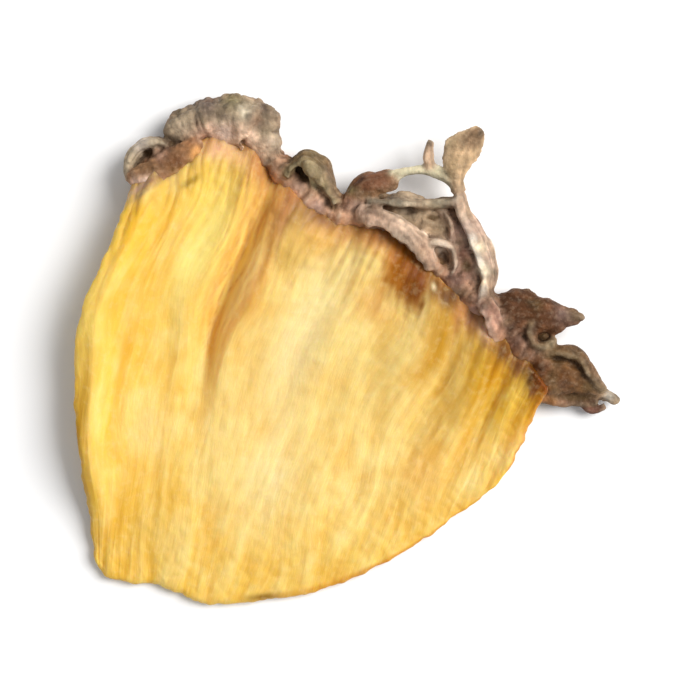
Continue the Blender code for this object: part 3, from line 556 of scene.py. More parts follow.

# Colours of the painted shade in hollows and creases, of the paler crests, of the seam with the flesh, and of
# patches
HOLLOW_PAINTED_SHADE = paint(96, 72, 42)
CREASE_PAINTED_SHADE = paint(78, 56, 38)
CREST_BEIGE = paint(206, 184, 154)
SEAM_PINK, SEAM_GOLD, SEAM_PALE = paint(208, 160, 128), paint(190, 130, 66), paint(236, 208, 188)
OLIVE, RUSSET = paint(136, 120, 80), paint(124, 82, 56)
# Patches of olive and russet: cell in mm
HUE_CELL = 2.0
# Unevenness of the rind's marks: cell in mm and share
RIND_MARK_EDGE = (0.8, 0.3)
# Light and dark blotches of the rind: cell in mm and share
RIND_MOTTLE = ((1.3, 0.32), (0.6, 0.34), (0.3, 0.18))
# Streaks of colour along each strip: cell across and along in mm, and share
RIND_STREAKS = (0.4, 2.4, 0.26)

# Finish of each material: how its grain is stretched; the grain's values from and to, and the shades
# that they give; roughness from and to; the specks' colour, scale and amount; strength and depth in m
# of the relief of the specks and of the grain; how much light goes in, how far in red, green and
# blue, and its depth in m; and shine
FLESH_FINISH = {
    "stretch": (0.45, 2.6, 1.0), "shade": (0.30, 0.70, 0.95, 1.04), "roughness": (0.38, 0.60),
    "specks": ((255, 238, 180), 1500.0, 0.12), "speck_relief": (0.25, 0.0001),
    "grain_relief": (0.28, 0.0002), "light_inside": (0.55, (1.0, 0.60, 0.14), 0.0014), "shine": 0.22,
}
RIND_FINISH = {
    "stretch": (1300.0, 1300.0, 1300.0), "shade": (0.32, 0.68, 0.82, 1.18), "roughness": (0.48, 0.78),
    "specks": ((210, 190, 162), 2600.0, 0.10), "speck_relief": (0.5, 0.00012),
    "grain_relief": (0.45, 0.00025), "light_inside": (0.08, (1.0, 0.5, 0.25), 0.0005), "shine": 0.15,
}

# Columns of the strips' rows: place, direction, width direction, half-width, run, number, whole run
PLACE, DIRECTION, WIDTH_WAY = slice(0, 3), slice(3, 6), slice(6, 9)
HALF_WIDTH, RUN, NUMBER, WHOLE_RUN = 9, 10, 11, 12


def smooth(value, low, high):
    """0 below low, 1 above high, and a smooth step between."""
    share = np.clip((np.asarray(value, float) - low) / (high - low), 0.0, 1.0)
    return share * share * (3.0 - 2.0 * share)


def corner_slopes(lattice, seed):
    """A repeatable random slope, each part from -1 to 1, for every corner of a lattice."""
    slopes = np.empty(lattice.shape, float)
    for part in range(3):
        mixed = (lattice[..., 0] * 374761393 + lattice[..., 1] * 668265263
                 + lattice[..., 2] * 2147483647 + (seed * 3 + part) * 1274126177) & 0xFFFFFFFF
        mixed = ((mixed ^ (mixed >> 13)) * 1103515245) & 0xFFFFFFFF
        mixed = ((mixed ^ (mixed >> 16)) * 60493) & 0xFFFFFFFF
        slopes[..., part] = (mixed & 0xFFFF) / 32767.5 - 1.0
    return slopes


def noise(points, cell, seed):
    """Smooth gradient noise, about -1 to 1, at an (n, 3) array of points."""
    scaled = np.asarray(points, float) / cell
    base = np.floor(scaled).astype(np.int64)
    inside = scaled - base
    fade = inside ** 3 * (inside * (inside * 6.0 - 15.0) + 10.0)
    total = np.zeros(len(scaled))
    for corner in np.ndindex(2, 2, 2):
        corner = np.array(corner)
        slope = corner_slopes(base + corner, seed)
        weight = np.prod(np.where(corner == 1, fade, 1.0 - fade), axis=1)
        total += weight * np.sum(slope * (inside - corner), axis=1)
    return np.clip(total * 1.6, -1.0, 1.0)


def flow_noise(across, along, cells, seed):
    """Noise drawn out along the fibres. Cells starts with its cell across and along them."""
    flow = np.column_stack([across / cells[0], along / cells[1], np.zeros_like(across)])
    return noise(flow, 1.0, seed)


def along_stations(stations, steps):
    """Stations joined by a smooth curve, with steps points for each gap between them."""
    rows = np.array(stations, float)
    rows = np.concatenate([2 * rows[:1] - rows[1:2], rows, 2 * rows[-1:] - rows[-2:-1]])
    t = np.arange(steps)[:, None] / steps
    made = []
    for before, start, end, after in zip(rows, rows[1:], rows[2:], rows[3:]):
        bend = (2 * before - 5 * start + 4 * end - after) * t**2
        twist = (3 * start - before - 3 * end + after) * t**3
        made.append(0.5 * (2 * start + (end - before) * t + bend + twist))
    return np.concatenate(made + [rows[-2:-1]])


def even_curve(places):
    """A function of 0 to 1 that runs at an even pace along a smooth curve through the places."""
    fine = along_stations(places, 24)
    lengths = np.concatenate([[0.0], np.cumsum(np.linalg.norm(np.diff(fine, axis=0), axis=1))])
    shares = lengths / lengths[-1]
    return lambda share: np.column_stack([np.interp(share, shares, fine[:, i]) for i in range(fine.shape[1])])


def flesh_plan(across, along):
    """X and y for shares across the fibres, from the left cut, and along them, from the core edge."""
    left, right = even_curve(LEFT_CUT), even_curve(RIGHT_CUT)
    core, rind = even_curve(CORE_EDGE), even_curve(RIND_EDGE)
    crowd = FAN * across * (1.0 - across)
    u, v = across[:, None], along[:, None]
    plan = (1.0 - v) * core(across - crowd) + v * rind(across + crowd)
    for edge, pull in ((left, (1.0 - u) ** 2), (right, u**2)):
        straight = (1.0 - v) * edge([0.0]) + v * edge([1.0])
        plan += pull * (edge(along) - straight)
    return plan


def near_place(across, place, reach):
    """1 at a place across the flesh and 0 well away from it, for a reach in mm."""
    return np.exp(-((FLESH_ACROSS * (across - place) / reach) ** 2))


def flesh_middle(across, along):
    """Height of the slab's mid-surface."""
    height = LYING_HEIGHT + RIND_SIDE_LIFT * smooth(along, LIFT_FROM, LIFT_TO)
    arch = smooth(along, ARCH_RISE_FROM, ARCH_RISE_TO) * (1.0 - ARCH_AT_RIND * smooth(along, 0.7, 1.0))
    height += LEFT_ARCH * arch * (1.0 - smooth(across, 0.0, LEFT_ARCH_REACH)) ** 1.5
    height += RIGHT_ARCH * smooth(across, 1.0 - RIGHT_ARCH_REACH, 1.0) * (1.0 - smooth(along, 0.5, 0.95))
    height -= RIND_DIP * (1.0 - smooth(FLESH_ALONG * (1.0 - along), 0.0, RIND_DIP_OVER))
    for place, half_width, rise, start, full in FOLDS:
        height += rise * near_place(across, place, half_width) * smooth(along, start, full)
    return height + RIPPLES[2] * flow_noise(across, along, RIPPLES, RIPPLE_SEED)


def distance_to_edges(across, along):
    """Distances in mm, about, to the nearest cut edge and to the rind."""
    cut_away = np.minimum(FLESH_ACROSS * np.minimum(across, 1.0 - across), FLESH_ALONG * along)
    return cut_away, FLESH_ALONG * (1.0 - along)


def flesh_thickness(across, along):
    """Thickness of the slab: thinner towards its cut edges, thicker at the rind, with rounded rims."""
    cut_away, rind_away = distance_to_edges(across, along)
    thickness = CUT_EDGE_THICKNESS + (FLESH_THICKNESS - CUT_EDGE_THICKNESS) * smooth(cut_away, 0.0, THIN_OVER)
    thickness += (RIND_EDGE_THICKNESS - FLESH_THICKNESS) * (1.0 - smooth(rind_away, 0.0, THIN_OVER))
    rounded = np.clip(1.0 - np.minimum(cut_away, rind_away + RIND_RIM) / ROUND_OVER, 0.0, 1.0)
    return thickness * (RIM_SHARE + (1.0 - RIM_SHARE) * np.sqrt(1.0 - rounded**2))


def fray_edges(plan, across, along):
    """Moves the plan's rim in and out a little, as dried fibres end unevenly."""
    cut_away, rind_away = distance_to_edges(across, along)
    near_rim = 1.0 - smooth(np.minimum(cut_away, rind_away), 0.0, FRAY_WIDTH)
    outward = plan - plan.mean(axis=0)
    outward /= np.linalg.norm(outward, axis=1)[:, None]
    flat = np.column_stack([plan, np.zeros(len(plan))])
    for number, (cell, reach) in enumerate(FRAY):
        plan = plan + (reach * near_rim * noise(flat, cell, FRAY_SEED + number))[:, None] * outward
    return plan


def fibre_lengths(across):
    """Length in mm of the fibres, from the core edge to the rind, for shares across the flesh."""
    shares = np.linspace(0.0, 1.0, FIBRE_STEPS)
    core, rind = (flesh_plan(shares, np.full(FIBRE_STEPS, end)) for end in (0.0, 1.0))
    return np.interp(across, shares, np.linalg.norm(rind - core, axis=1))


def bent(across, along):
    """Places across and along the fibres in mm, from the rind, bent so that streaks wander a little."""
    u, v = across * FLESH_ACROSS, (along - 1.0) * fibre_lengths(across)
    for number, bend in enumerate(STREAK_BEND):
        u = u + bend[2] * flow_noise(u, v, bend, BEND_SEED + number)
    return u, v


def threads(u, v, seed):
    """1 on the thin raised threads that run along the fibres, and 0 between them."""
    return smooth(1.0 - np.abs(flow_noise(u, v, THREADS, seed + THREAD_STEP)), 0.86, 1.0)


def puckers(u, v, along, seed):
    """1 in the sharp pleats where the flesh is gathered at the rind, and 0 between them."""
    pleat = 1.0 - np.abs(flow_noise(u, v, PUCKERS, seed + PUCKER_STEP))
    return pleat**3 * smooth(along, 0.60, 1.0)


def fold_creases(u, v, across, along, seed):
    """1 in the fine creases that run down the deep fold, and 0 away from them."""
    *_, place, reach = FOLD_CREASES
    in_fold = near_place(across, place, reach) * smooth(along, 0.45, 0.70)
    return in_fold * (1.0 - np.abs(flow_noise(u, v, FOLD_CREASES, seed + CREASE_STEP))) ** 4


def flesh_relief(plan, across, along, seed):
    """Fine height of one face: streaks, threads, wrinkles, crinkles, puckers, and the deep fold's own."""
    u, v = bent(across, along)
    height = np.zeros_like(u)
    for number, streak in enumerate(STREAKS):
        height += streak[2] * flow_noise(u, v, streak, seed + number)
    height += THREADS[2] * threads(u, v, seed)
    height += CROSS_WRINKLES[2] * flow_noise(u, v, CROSS_WRINKLES, seed + WRINKLE_STEP)
    flat = np.column_stack([plan, np.zeros(len(plan))])
    height -= CRINKLES[1] * (1.0 - np.abs(noise(flat, CRINKLES[0], seed + CRINKLE_STEP))) ** 4
    height -= FOLD_CREASES[2] * fold_creases(u, v, across, along, seed)
    place, reach, rise = FOLD_LEDGE
    height += rise * near_place(across, place, reach) * smooth(along, 0.50, 0.75)
    return height - PUCKERS[2] * puckers(u, v, along, seed) * (1.0 - 0.5 * smooth(across, 0.4, 0.6))


def crowded_steps(count):
    """Shares from 0 to 1, closer together towards both ends."""
    even = np.linspace(0.0, 1.0, count + 1)
    return even - END_CROWDING * np.sin(2.0 * math.pi * even) / (2.0 * math.pi)


def flesh_slab(columns, rows):
    """Points, faces, and each point's places across and along, of the closed slab."""
    across, along = np.meshgrid(crowded_steps(columns), crowded_steps(rows))
    across, along = across.ravel(), along.ravel()
    plan = fray_edges(flesh_plan(across, along), across, along)
    middle = flesh_middle(across, along)
    half = flesh_thickness(across, along) / 2.0
    over = middle + half + flesh_relief(plan, across, along, OVER_SEED)
    below = middle - half + flesh_relief(plan, across, along, UNDER_SEED)
    below = np.minimum(below, over - LEAST_THICKNESS)
    points = np.concatenate([np.column_stack([plan, over]), np.column_stack([plan, below])])
    line = columns + 1
    under = line * (rows + 1)
    a = (np.arange(rows)[:, None] * line + np.arange(columns)).ravel()
    b, c, d = a + 1, a + line + 1, a + line
    top = np.column_stack([a, b, c, d])
    bottom = under + top[:, ::-1]
    ring = np.concatenate([
        np.arange(columns), np.arange(rows) * line + columns, rows * line + np.arange(columns, 0, -1),
        np.arange(rows, 0, -1) * line,
    ])
    rim = np.column_stack([ring, under + ring, under + np.roll(ring, -1), np.roll(ring, -1)])
    faces = np.concatenate([top, bottom, rim])
    return points, faces, np.tile(across, 2), np.tile(along, 2)


def lay(colours, colour, amount):
    """Covers colours with one colour, by an amount from 0 to 1 for each."""
    amount = np.clip(amount, 0.0, 1.0)[:, None]
    return colours * (1.0 - amount) + colour * amount


def turned(points, x, y, degrees):
    """Distances from a place along and across a direction, seen from above."""
    c, s = math.cos(math.radians(degrees)), math.sin(math.radians(degrees))
    dx, dy = points[:, 0] - x, points[:, 1] - y
    return dx * c + dy * s, dy * c - dx * s


def broad_zones(across, along):
    """Yellow at the left, pale in the middle, gold at the right and near the core."""
    colours = np.tile(MIDDLE_YELLOW, (len(across), 1))
    colours = lay(colours, LEFT_YELLOW, 1.0 - smooth(across, 0.12, 0.38))
    colours = lay(colours, RIGHT_GOLD, smooth(across, 0.58, 0.92) * smooth(along, 0.2, 0.7))
    return lay(colours, LOW_GOLD, 0.9 * (1.0 - smooth(along, 0.02, 0.38)))


def streaked(colours, value, strength):
    """Lays the pale streak where a noise is high and the deep one where it is low."""
    colours = lay(colours, PALE_STREAK, strength * smooth(value, 0.0, 0.8))
    return lay(colours, DEEP_STREAK, strength * smooth(-value, 0.0, 0.8))


def rind_stain(colours, u, v, across):
    """Stains the flesh near the rind with gold and pink, and with brown where they meet."""
    rind_away = -v + STAIN_EDGE[2] * flow_noise(u, v, STAIN_EDGE, STAIN_SEED)
    stained = (1.0 - smooth(rind_away, 0.8, 3.8)) * smooth(across, 0.30, 0.50)
    colours = lay(colours, RIND_SIDE_GOLD, 0.70 * stained)
    pink = (1.0 - smooth(rind_away, 0.6, 2.8)) * (1.0 - 0.5 * stained)
    colours = lay(colours, RIND_SIDE_PINK, 0.70 * pink)
    rind_reach = rind_away - 0.9 * smooth(across, 0.50, 0.75) - 0.7 * smooth(across, 0.82, 0.95)
    return lay(colours, RIND_SIDE_BROWN, 0.90 * (1.0 - smooth(rind_reach, -0.3, 1.5)))


def flesh_marks(colours, points, u, v):
    """Lays the marks of the flesh, drawn out along its fibres."""
    ragged = 1.0 + MARK_EDGE[2] * flow_noise(u, v, MARK_EDGE, MARK_SEED)
    for x, y, reach_across, reach_along, colour, strength in FLESH_MARKS.values():
        nearest = np.argmin((points[:, 0] - x) ** 2 + (points[:, 1] - y) ** 2)
        away = ((u - u[nearest]) / reach_across) ** 2 + ((v - v[nearest]) / reach_along) ** 2
        colours = lay(colours, paint(*colour), strength * np.exp(-away) * ragged)
    return colours


def painted_valley_shade(colours, u, v, across, along, seed):
    """Paints shade as deeper, more saturated gold into the valleys between the raised streaks of the right
    part, short of its corner at the rind.
    """
    valley = -flow_noise(u, v, STREAKS[1], seed + 1)
    right_part = smooth(across, 0.55, 0.80) * smooth(along, 0.25, 0.60) * (1.0 - smooth(along, 0.84, 0.96))
    return lay(colours, VALLEY_SHADE_GOLD, 0.5 * smooth(valley, 0.0, 0.6) * right_part)


def amber_patch(colours, points, u, v):
    """Lays the amber patch near the rind, darkest towards its lower right."""
    x, y, half_width, half_length, degrees = AMBER_PATCH
    length, width = turned(points, x, y, degrees)
    length, width = length / half_length, width / half_width
    uneven = AMBER_LUMPS[1] * noise(points, AMBER_LUMPS[0], AMBER_SEED)
    uneven += AMBER_STREAKS[2] * flow_noise(u, v, AMBER_STREAKS, AMBER_STREAK_SEED)
    inside = 1.0 - smooth(np.hypot(width, length) + uneven, 0.55, 1.15)
    darker = smooth(-width - 0.5 * length + 1.5 * uneven, -0.7, 0.6)
    colours = lay(colours, AMBER, 0.97 * inside)
    return lay(colours, DARK_AMBER, 0.97 * inside * darker)


def edge_lines(colours, across, along):
    """Darkens the right part of the core edge, and the right cut, which fades towards the rind."""
    core_line = (1.0 - smooth(FLESH_ALONG * along, 0.2, 1.3)) * smooth(across, 0.35, 0.75)
    colours = lay(colours, CORE_LINE, 0.85 * core_line)
    fading = 1.0 - 0.5 * smooth(along, 0.3, 0.7) - 0.5 * smooth(along, 0.75, 0.92)
    cut_line = (1.0 - smooth(FLESH_ACROSS * (1.0 - across), 0.1, 1.0)) * fading
    return lay(colours, CUT_LINE, 0.75 * cut_line)


def flesh_colours(points, across, along, seed):
    """Colour of every point of one face of the flesh, from its broad zones, its streaks and its marks."""
    u, v = bent(across, along)
    colours = broad_zones(across, along)
    for number, streak in enumerate(STREAKS):
        colours = streaked(colours, flow_noise(u, v, streak, seed + number), streak[3])
    for number, (cell, strength) in enumerate(BLOTCHES):
        colours = streaked(colours, noise(points, cell, BLOTCH_SEED + number), strength)
    colours = lay(colours, PALE_STREAK, 0.12 * threads(u, v, seed))
    colours = lay(colours, RIND_SIDE_BROWN, 0.55 * puckers(u, v, along, seed) * smooth(along, 0.78, 0.98))
    colours = rind_stain(colours, u, v, across)
    colours = flesh_marks(colours, points, u, v)
    colours = lay(colours, FOLD_ORANGE, 0.65 * fold_creases(u, v, across, along, seed))
    # Painted shade: deeper gold in the valleys of the right part
    colours = painted_valley_shade(colours, u, v, across, along, seed)
    colours = amber_patch(colours, points, u, v)
    for x, y, half_length, half_width, degrees, colour, strength, square in FLESH_STROKES.values():
        length, width = turned(points, x, y, degrees)
        stroke = np.exp(-((length / half_length) ** square) - (width / half_width) ** 2)
        colours = lay(colours, paint(*colour), strength * stroke)
    return edge_lines(colours, across, along)


def strip(cup, stations, steps, sides):
    """Points and faces of one closed strip, and its rows up to the run."""
    rows = along_stations(stations, steps)
    centres = rows[:, :3]
    half_width, half_thick, roll = rows[:, 3:].T.copy()
    half_width *= 1.0 + RAGGED_SHARE * noise(centres, RAGGED_CELL, RAGGED_SEED)
    for end in (0, -1):
        half_width[end] *= END_TAPER
        half_thick[end] *= END_TAPER
    roll = np.radians(roll)[:, None]
    along = np.gradient(centres, axis=0)
    along /= np.linalg.norm(along, axis=1)[:, None]
    side = np.cross(along, (0.0, 0.0, 1.0))
    side /= np.linalg.norm(side, axis=1)[:, None]
    up = np.cross(side, along)
    across = np.cos(roll) * side + np.sin(roll) * up
    through = np.cos(roll) * up - np.sin(roll) * side
    turn = 2.0 * math.pi * np.arange(sides) / sides
    wide = half_width[:, None] * np.cos(turn)
    thick = half_thick[:, None] * np.sin(turn) - cup * half_width[:, None] * np.cos(turn) ** 2
    ring = wide[..., None] * across[:, None] + thick[..., None] * through[:, None]
    points = (centres[:, None] + ring).reshape(-1, 3)
    lump = 1.0 + STRIP_LUMP_SHARE * noise(points, STRIP_LUMP_CELL, STRIP_LUMP_SEED)
    points = np.repeat(centres, sides, axis=0) + ring.reshape(-1, 3) * lump[:, None]
    last = len(centres) - 1
    start_cap, end_cap = len(points), len(points) + 1
    points = np.concatenate([points, centres[:1], centres[-1:]])
    faces = []
    for j in range(sides):
        k = (j + 1) % sides
        for i in range(last):
            faces.append((i * sides + j, (i + 1) * sides + j, (i + 1) * sides + k, i * sides + k))
        faces.append((start_cap, j, k))
        faces.append((end_cap, last * sides + k, last * sides + j))
    run = np.concatenate([[0.0], np.cumsum(np.linalg.norm(np.diff(centres, axis=0), axis=1))])
    return points, faces, np.column_stack([centres, along, across, half_width, run])


def rind_sources():
    """Points and faces of all strips, the row that each point belongs to, and all rows."""
    points, faces, row_of, rows = [], [], [], []
    count = row_count = 0
    for number, (cup, stations) in enumerate(RIND_STRIPS.values()):
        made, made_faces, made_rows = strip(cup, stations, STRIP_STEPS, STRIP_SIDES)
        length = len(made_rows)
        points.append(made)
        faces += [tuple(count + i for i in face) for face in made_faces]
        made_row_of = np.concatenate([np.repeat(np.arange(length), STRIP_SIDES), [0, length - 1]])
        row_of.append(row_count + made_row_of)
        whole_run = made_rows[-1, RUN]
        rows.append(np.column_stack([made_rows, np.full(length, number), np.full(length, whole_run)]))
        count += len(made)
        row_count += length
    return np.concatenate(points), faces, np.concatenate(row_of), np.concatenate(rows)


def plain_mesh(name, points, faces):
    """A mesh from lists of points and faces."""
    mesh = bpy.data.meshes.new(name)
    mesh.from_pydata(points.tolist(), [], [tuple(face) for face in faces])
    return mesh


def read_points(mesh):
    """Places and normals of a mesh's points."""
    places = np.empty(len(mesh.vertices) * 3, np.float32)
    mesh.vertices.foreach_get("co", places)
    normals = np.empty(len(mesh.vertices) * 3, np.float32)
    mesh.vertex_normals.foreach_get("vector", normals)
    return places.reshape(-1, 3).astype(float), normals.reshape(-1, 3).astype(float)


def fused_skin(points, faces):
    """One skin round all the strips, as a mesh still in mm."""
    lump = bpy.data.objects.new("rind_strips", plain_mesh("rind_strips", points, faces))
    bpy.context.scene.collection.objects.link(lump)
    skin = lump.modifiers.new("skin", "REMESH")
    skin.mode = "VOXEL"
    skin.voxel_size = RIND_VOXEL
    soften = lump.modifiers.new("soften", "SMOOTH")
    soften.factor = 0.5
    soften.iterations = RIND_SMOOTHING
    graph = bpy.context.evaluated_depsgraph_get()
    mesh = bpy.data.meshes.new_from_object(lump.evaluated_get(graph))
    bpy.data.objects.remove(lump)
    return mesh


def nearest_sources(points, sources):
    """For each point, the index of the source nearest to it."""
    tree = kdtree.KDTree(len(sources))
    for i, source in enumerate(sources.tolist()):
        tree.insert(source, i)
    tree.balance()
    return np.array([tree.find(point)[1] for point in points.tolist()])


def blurred(values, edges, rounds):
    """Values averaged with those of joined points, some rounds over."""
    joined = np.bincount(edges.ravel(), minlength=len(values))[:, None]
    for _ in range(rounds):
        total = np.column_stack([
            np.bincount(edges[:, 0], column[edges[:, 1]], len(values))
            + np.bincount(edges[:, 1], column[edges[:, 0]], len(values))
            for column in values.T
        ])
        values = (values + total / joined) / 2.0
    return values


def grain_noise(run, width, number, cells, seed):
    """Noise drawn out along each strip. Cells starts with its cell across and along the strip."""
    return noise(np.column_stack([width / cells[0], run / cells[1], STRIP_APART * number]), 1.0, seed)


def seam_places(points):
    """Each point's place along the flesh's rind edge in mm, and how far out of the flesh it lies."""
    curve = even_curve(RIND_EDGE)(np.linspace(0.0, 1.0, SEAM_STEPS))
    steps = np.gradient(curve, axis=0)
    lengths = np.linalg.norm(steps, axis=1)
    flat = np.column_stack([points[:, :2], np.zeros(len(points))])
    nearest = nearest_sources(flat, np.column_stack([curve, np.zeros(SEAM_STEPS)]))
    offset, direction = points[:, :2] - curve[nearest], (steps / lengths[:, None])[nearest]
    seam = nearest * lengths.mean() + np.sum(offset * direction, axis=1)
    return seam, offset[:, 1] * direction[:, 0] - offset[:, 0] * direction[:, 1]


def in_hollow(points, x, y, reach_x, reach_y):
    """1 in the middle of a hollow, 0 well away from it, and 0 on what spans it."""
    away = ((points[:, 0] - x) / reach_x) ** 2 + ((points[:, 1] - y) / reach_y) ** 2
    return np.exp(-away) * (1.0 - smooth(points[:, 2], HOLLOW_UNDER, HOLLOW_OVER))


def rind_relief(points, run, width, number, crumple, seam, beyond):
    """Crumpled height of the rind: lumps, knobs, sharp creases, wrinkles, grit, pleats and its hollows."""
    height = LUMPS[1] * noise(points, LUMPS[0], LUMP_SEED) + KNOBS[1] * noise(points, KNOBS[0], KNOB_SEED)
    crease = 1.0 - np.abs(grain_noise(run, width, number, CREASES, RIND_CREASE_SEED))
    height -= CREASES[2] * (crease**4 - 0.3)
    height += WRINKLES[2] * grain_noise(run, width, number, WRINKLES, RIND_WRINKLE_SEED)
    fibres = STRIP_FIBRES[2] * grain_noise(run, width, number, STRIP_FIBRES, STRIP_FIBRE_SEED)
    height = crumple * height + (1.0 - crumple) * fibres + GRIT[1] * noise(points, GRIT[0], GRIT_SEED)
    height *= 0.4 + 0.6 * smooth(beyond, -0.4, 1.2)
    pleat = flow_noise(seam, beyond, SEAM_PLEATS, PLEAT_SEED)
    height += SEAM_PLEATS[2] * pleat * (1.0 - smooth(beyond, *SEAM_REACH))
    for *place_and_reach, depth in HOLLOWS.values():
        height -= depth * in_hollow(points, *place_and_reach)
    return height


def seam_shade(points, colours, seam, beyond, grown):
    """Turns the rind's colours into those of the flesh where it has grown out of it, in ragged streaks."""
    ragged = beyond + 0.9 * flow_noise(seam, beyond, SEAM_PLEATS, PLEAT_SEED)
    low = smooth(points[:, 2], 1.4, 2.4) * np.maximum(grown, 1.0 - smooth(points[:, 2], 3.6, 4.2))
    foot = low * (1.0 - smooth(ragged, -0.2, 1.7))
    colours = lay(colours, SEAM_PINK, 0.60 * foot)
    pale = smooth(flow_noise(seam, beyond, SEAM_STREAKS, SEAM_PALE_SEED), 0.1, 0.7)
    colours = lay(colours, SEAM_PALE, 0.45 * foot * pale)
    return lay(colours, SEAM_GOLD, 0.80 * low * (1.0 - smooth(ragged, -1.0, 0.2)))


def rind_shade(points, normals, edges, colours):
    """Lays the rind's marks and mottles on its colours, lightens its crests, and paints shade into its
    creases and hollows.
    """
    cell, share = RIND_MARK_EDGE
    uneven = 1.0 + share * noise(points, cell, RIND_MARK_SEED)
    for x, y, reach, colour, strength in RIND_MARKS.values():
        away = np.hypot(points[:, 0] - x, points[:, 1] - y)
        colours = lay(colours, paint(*colour), strength * np.exp(-((away / (reach * uneven)) ** 2)))
    hue = noise(points, HUE_CELL, HUE_SEED)
    colours = lay(colours, OLIVE, 0.25 * smooth(hue, 0.1, 0.8))
    colours = lay(colours, RUSSET, 0.25 * smooth(-hue, 0.1, 0.8))
    mottle = sum(share * noise(points, cell, MOTTLE_SEED + i) for i, (cell, share) in enumerate(RIND_MOTTLE))
    colours = colours * np.exp(mottle)[:, None]
    # Painted shade in the creases, told by how far each point lies below its blurred neighbours
    sunk = np.sum((blurred(points, edges, LEVEL_ROUNDS) - points) * normals, axis=1)
    colours = lay(colours, CREASE_PAINTED_SHADE, 0.75 * smooth(sunk, 0.02, 0.16))
    # Paler beige on the crests, told the same way
    colours = lay(colours, CREST_BEIGE, 0.34 * smooth(-sunk, 0.05, 0.18))
    # Painted shade in the hollows
    for *place_and_reach, _ in HOLLOWS.values():
        deep = in_hollow(points, *place_and_reach)
        colours = lay(colours, HOLLOW_PAINTED_SHADE, 0.75 * smooth(deep, 0.15, 0.8))
    return colours


def strip_colours(run, width, row, edges):
    """Each point's colour from its strip's looks: the faces, the long edges and the far end."""
    number = row[:, NUMBER].astype(int)
    body, rim, end = (
        np.array([paint(*look[part]) for look in RIND_LOOKS.values()])[number] for part in range(3)
    )
    end_share = smooth(run / row[:, WHOLE_RUN], END_FROM, END_TO)[:, None]
    rim_share = smooth(np.abs(width) / row[:, HALF_WIDTH], EDGE_FROM, EDGE_TO)[:, None]
    colours = body * (1.0 - end_share) + end * end_share
    return blurred(colours * (1.0 - rim_share) + rim * rim_share, edges, LOOK_ROUNDS)


def rind_skin():
    """The rind's mesh, its points in mm and their colours."""
    source_points, faces, row_of, rows = rind_sources()
    mesh = fused_skin(source_points, faces)
    points, normals = read_points(mesh)
    edges = np.empty(len(mesh.edges) * 2, np.int32)
    mesh.edges.foreach_get("vertices", edges)
    edges = edges.reshape(-1, 2)
    row = rows[row_of[nearest_sources(points, source_points)]]
    offset = points - row[:, PLACE]
    run = row[:, RUN] + np.sum(offset * row[:, DIRECTION], axis=1)
    width = np.sum(offset * row[:, WIDTH_WAY], axis=1)
    number = row[:, NUMBER].astype(int)
    crumple, crosswise = (
        np.array([look[part] for look in RIND_LOOKS.values()])[number] for part in (3, 4)
    )
    crumple = blurred(crumple[:, None], edges, LOOK_ROUNDS)[:, 0]
    creased_run, creased_width = np.where(crosswise, width, run), np.where(crosswise, run, width)
    seam, beyond = seam_places(points)
    height = rind_relief(points, creased_run, creased_width, number, crumple, seam, beyond)
    points = points + normals * blurred(height[:, None], edges, RELIEF_ROUNDS)
    mesh.vertices.foreach_set("co", points.astype(np.float32).ravel())
    mesh.update()
    points, normals = read_points(mesh)
    colours = strip_colours(run, width, row, edges)
    streak = grain_noise(creased_run, creased_width, number, RIND_STREAKS, RIND_STREAK_SEED)
    fibres = grain_noise(run, width, number, STRIP_FIBRES, STRIP_FIBRE_SEED) * (1.0 - crumple)
    colours = colours * np.exp(RIND_STREAKS[2] * streak + 0.5 * fibres)[:, None]
    grown = blurred(crosswise[:, None].astype(float), edges, GROWN_ROUNDS)[:, 0]
    colours = seam_shade(points, colours, seam, beyond, grown)
    return mesh, points, rind_shade(points, normals, edges, colours)


def finish_piece(name, mesh, points, colours, material):
    """Sets a mesh on the table in metres, with its colours, and puts it in place of the solid."""
    placed = points.copy()
    placed[:, :2] += PLAN_SHIFT
    placed[:, 2] = np.maximum(placed[:, 2], 0.0)
    mesh.vertices.foreach_set("co", (placed * MM).astype(np.float32).ravel())
    tint = mesh.attributes.new("tint", "FLOAT_COLOR", "POINT")
    rgba = np.column_stack([colours, np.ones(len(colours))])
    tint.data.foreach_set("color", rgba.astype(np.float32).ravel())
    mesh.materials.append(material)
    mesh.shade_smooth()
    mesh.update()
    piece = bpy.data.objects.new(name, mesh)
    bpy.context.scene.collection.objects.link(piece)
    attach(piece, BODY)
    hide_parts(NODE)


def add_node(tree, kind, inputs=(), **settings):
    """Adds a node, sets its fields, and gives its sockets values or links."""
    made = tree.nodes.new(kind)
    for field, value in settings.items():
        setattr(made, field, value)
    for socket, value in dict(inputs).items():
        if isinstance(value, bpy.types.NodeSocket):
            tree.links.new(value, made.inputs[socket])
        else:
            made.inputs[socket].default_value = value
    return made


def new_group(name, inputs, outputs):
    """A node group with named sockets, and its two end nodes."""
    group = bpy.data.node_groups.new(name, "ShaderNodeTree")
    for socket, (kind, value) in inputs.items():
        made = group.interface.new_socket(name=socket, in_out="INPUT", socket_type=kind)
        if value is not None:
            made.default_value = value
    for socket, kind in outputs.items():
        group.interface.new_socket(name=socket, in_out="OUTPUT", socket_type=kind)
    return group, group.nodes.new("NodeGroupInput"), group.nodes.new("NodeGroupOutput")


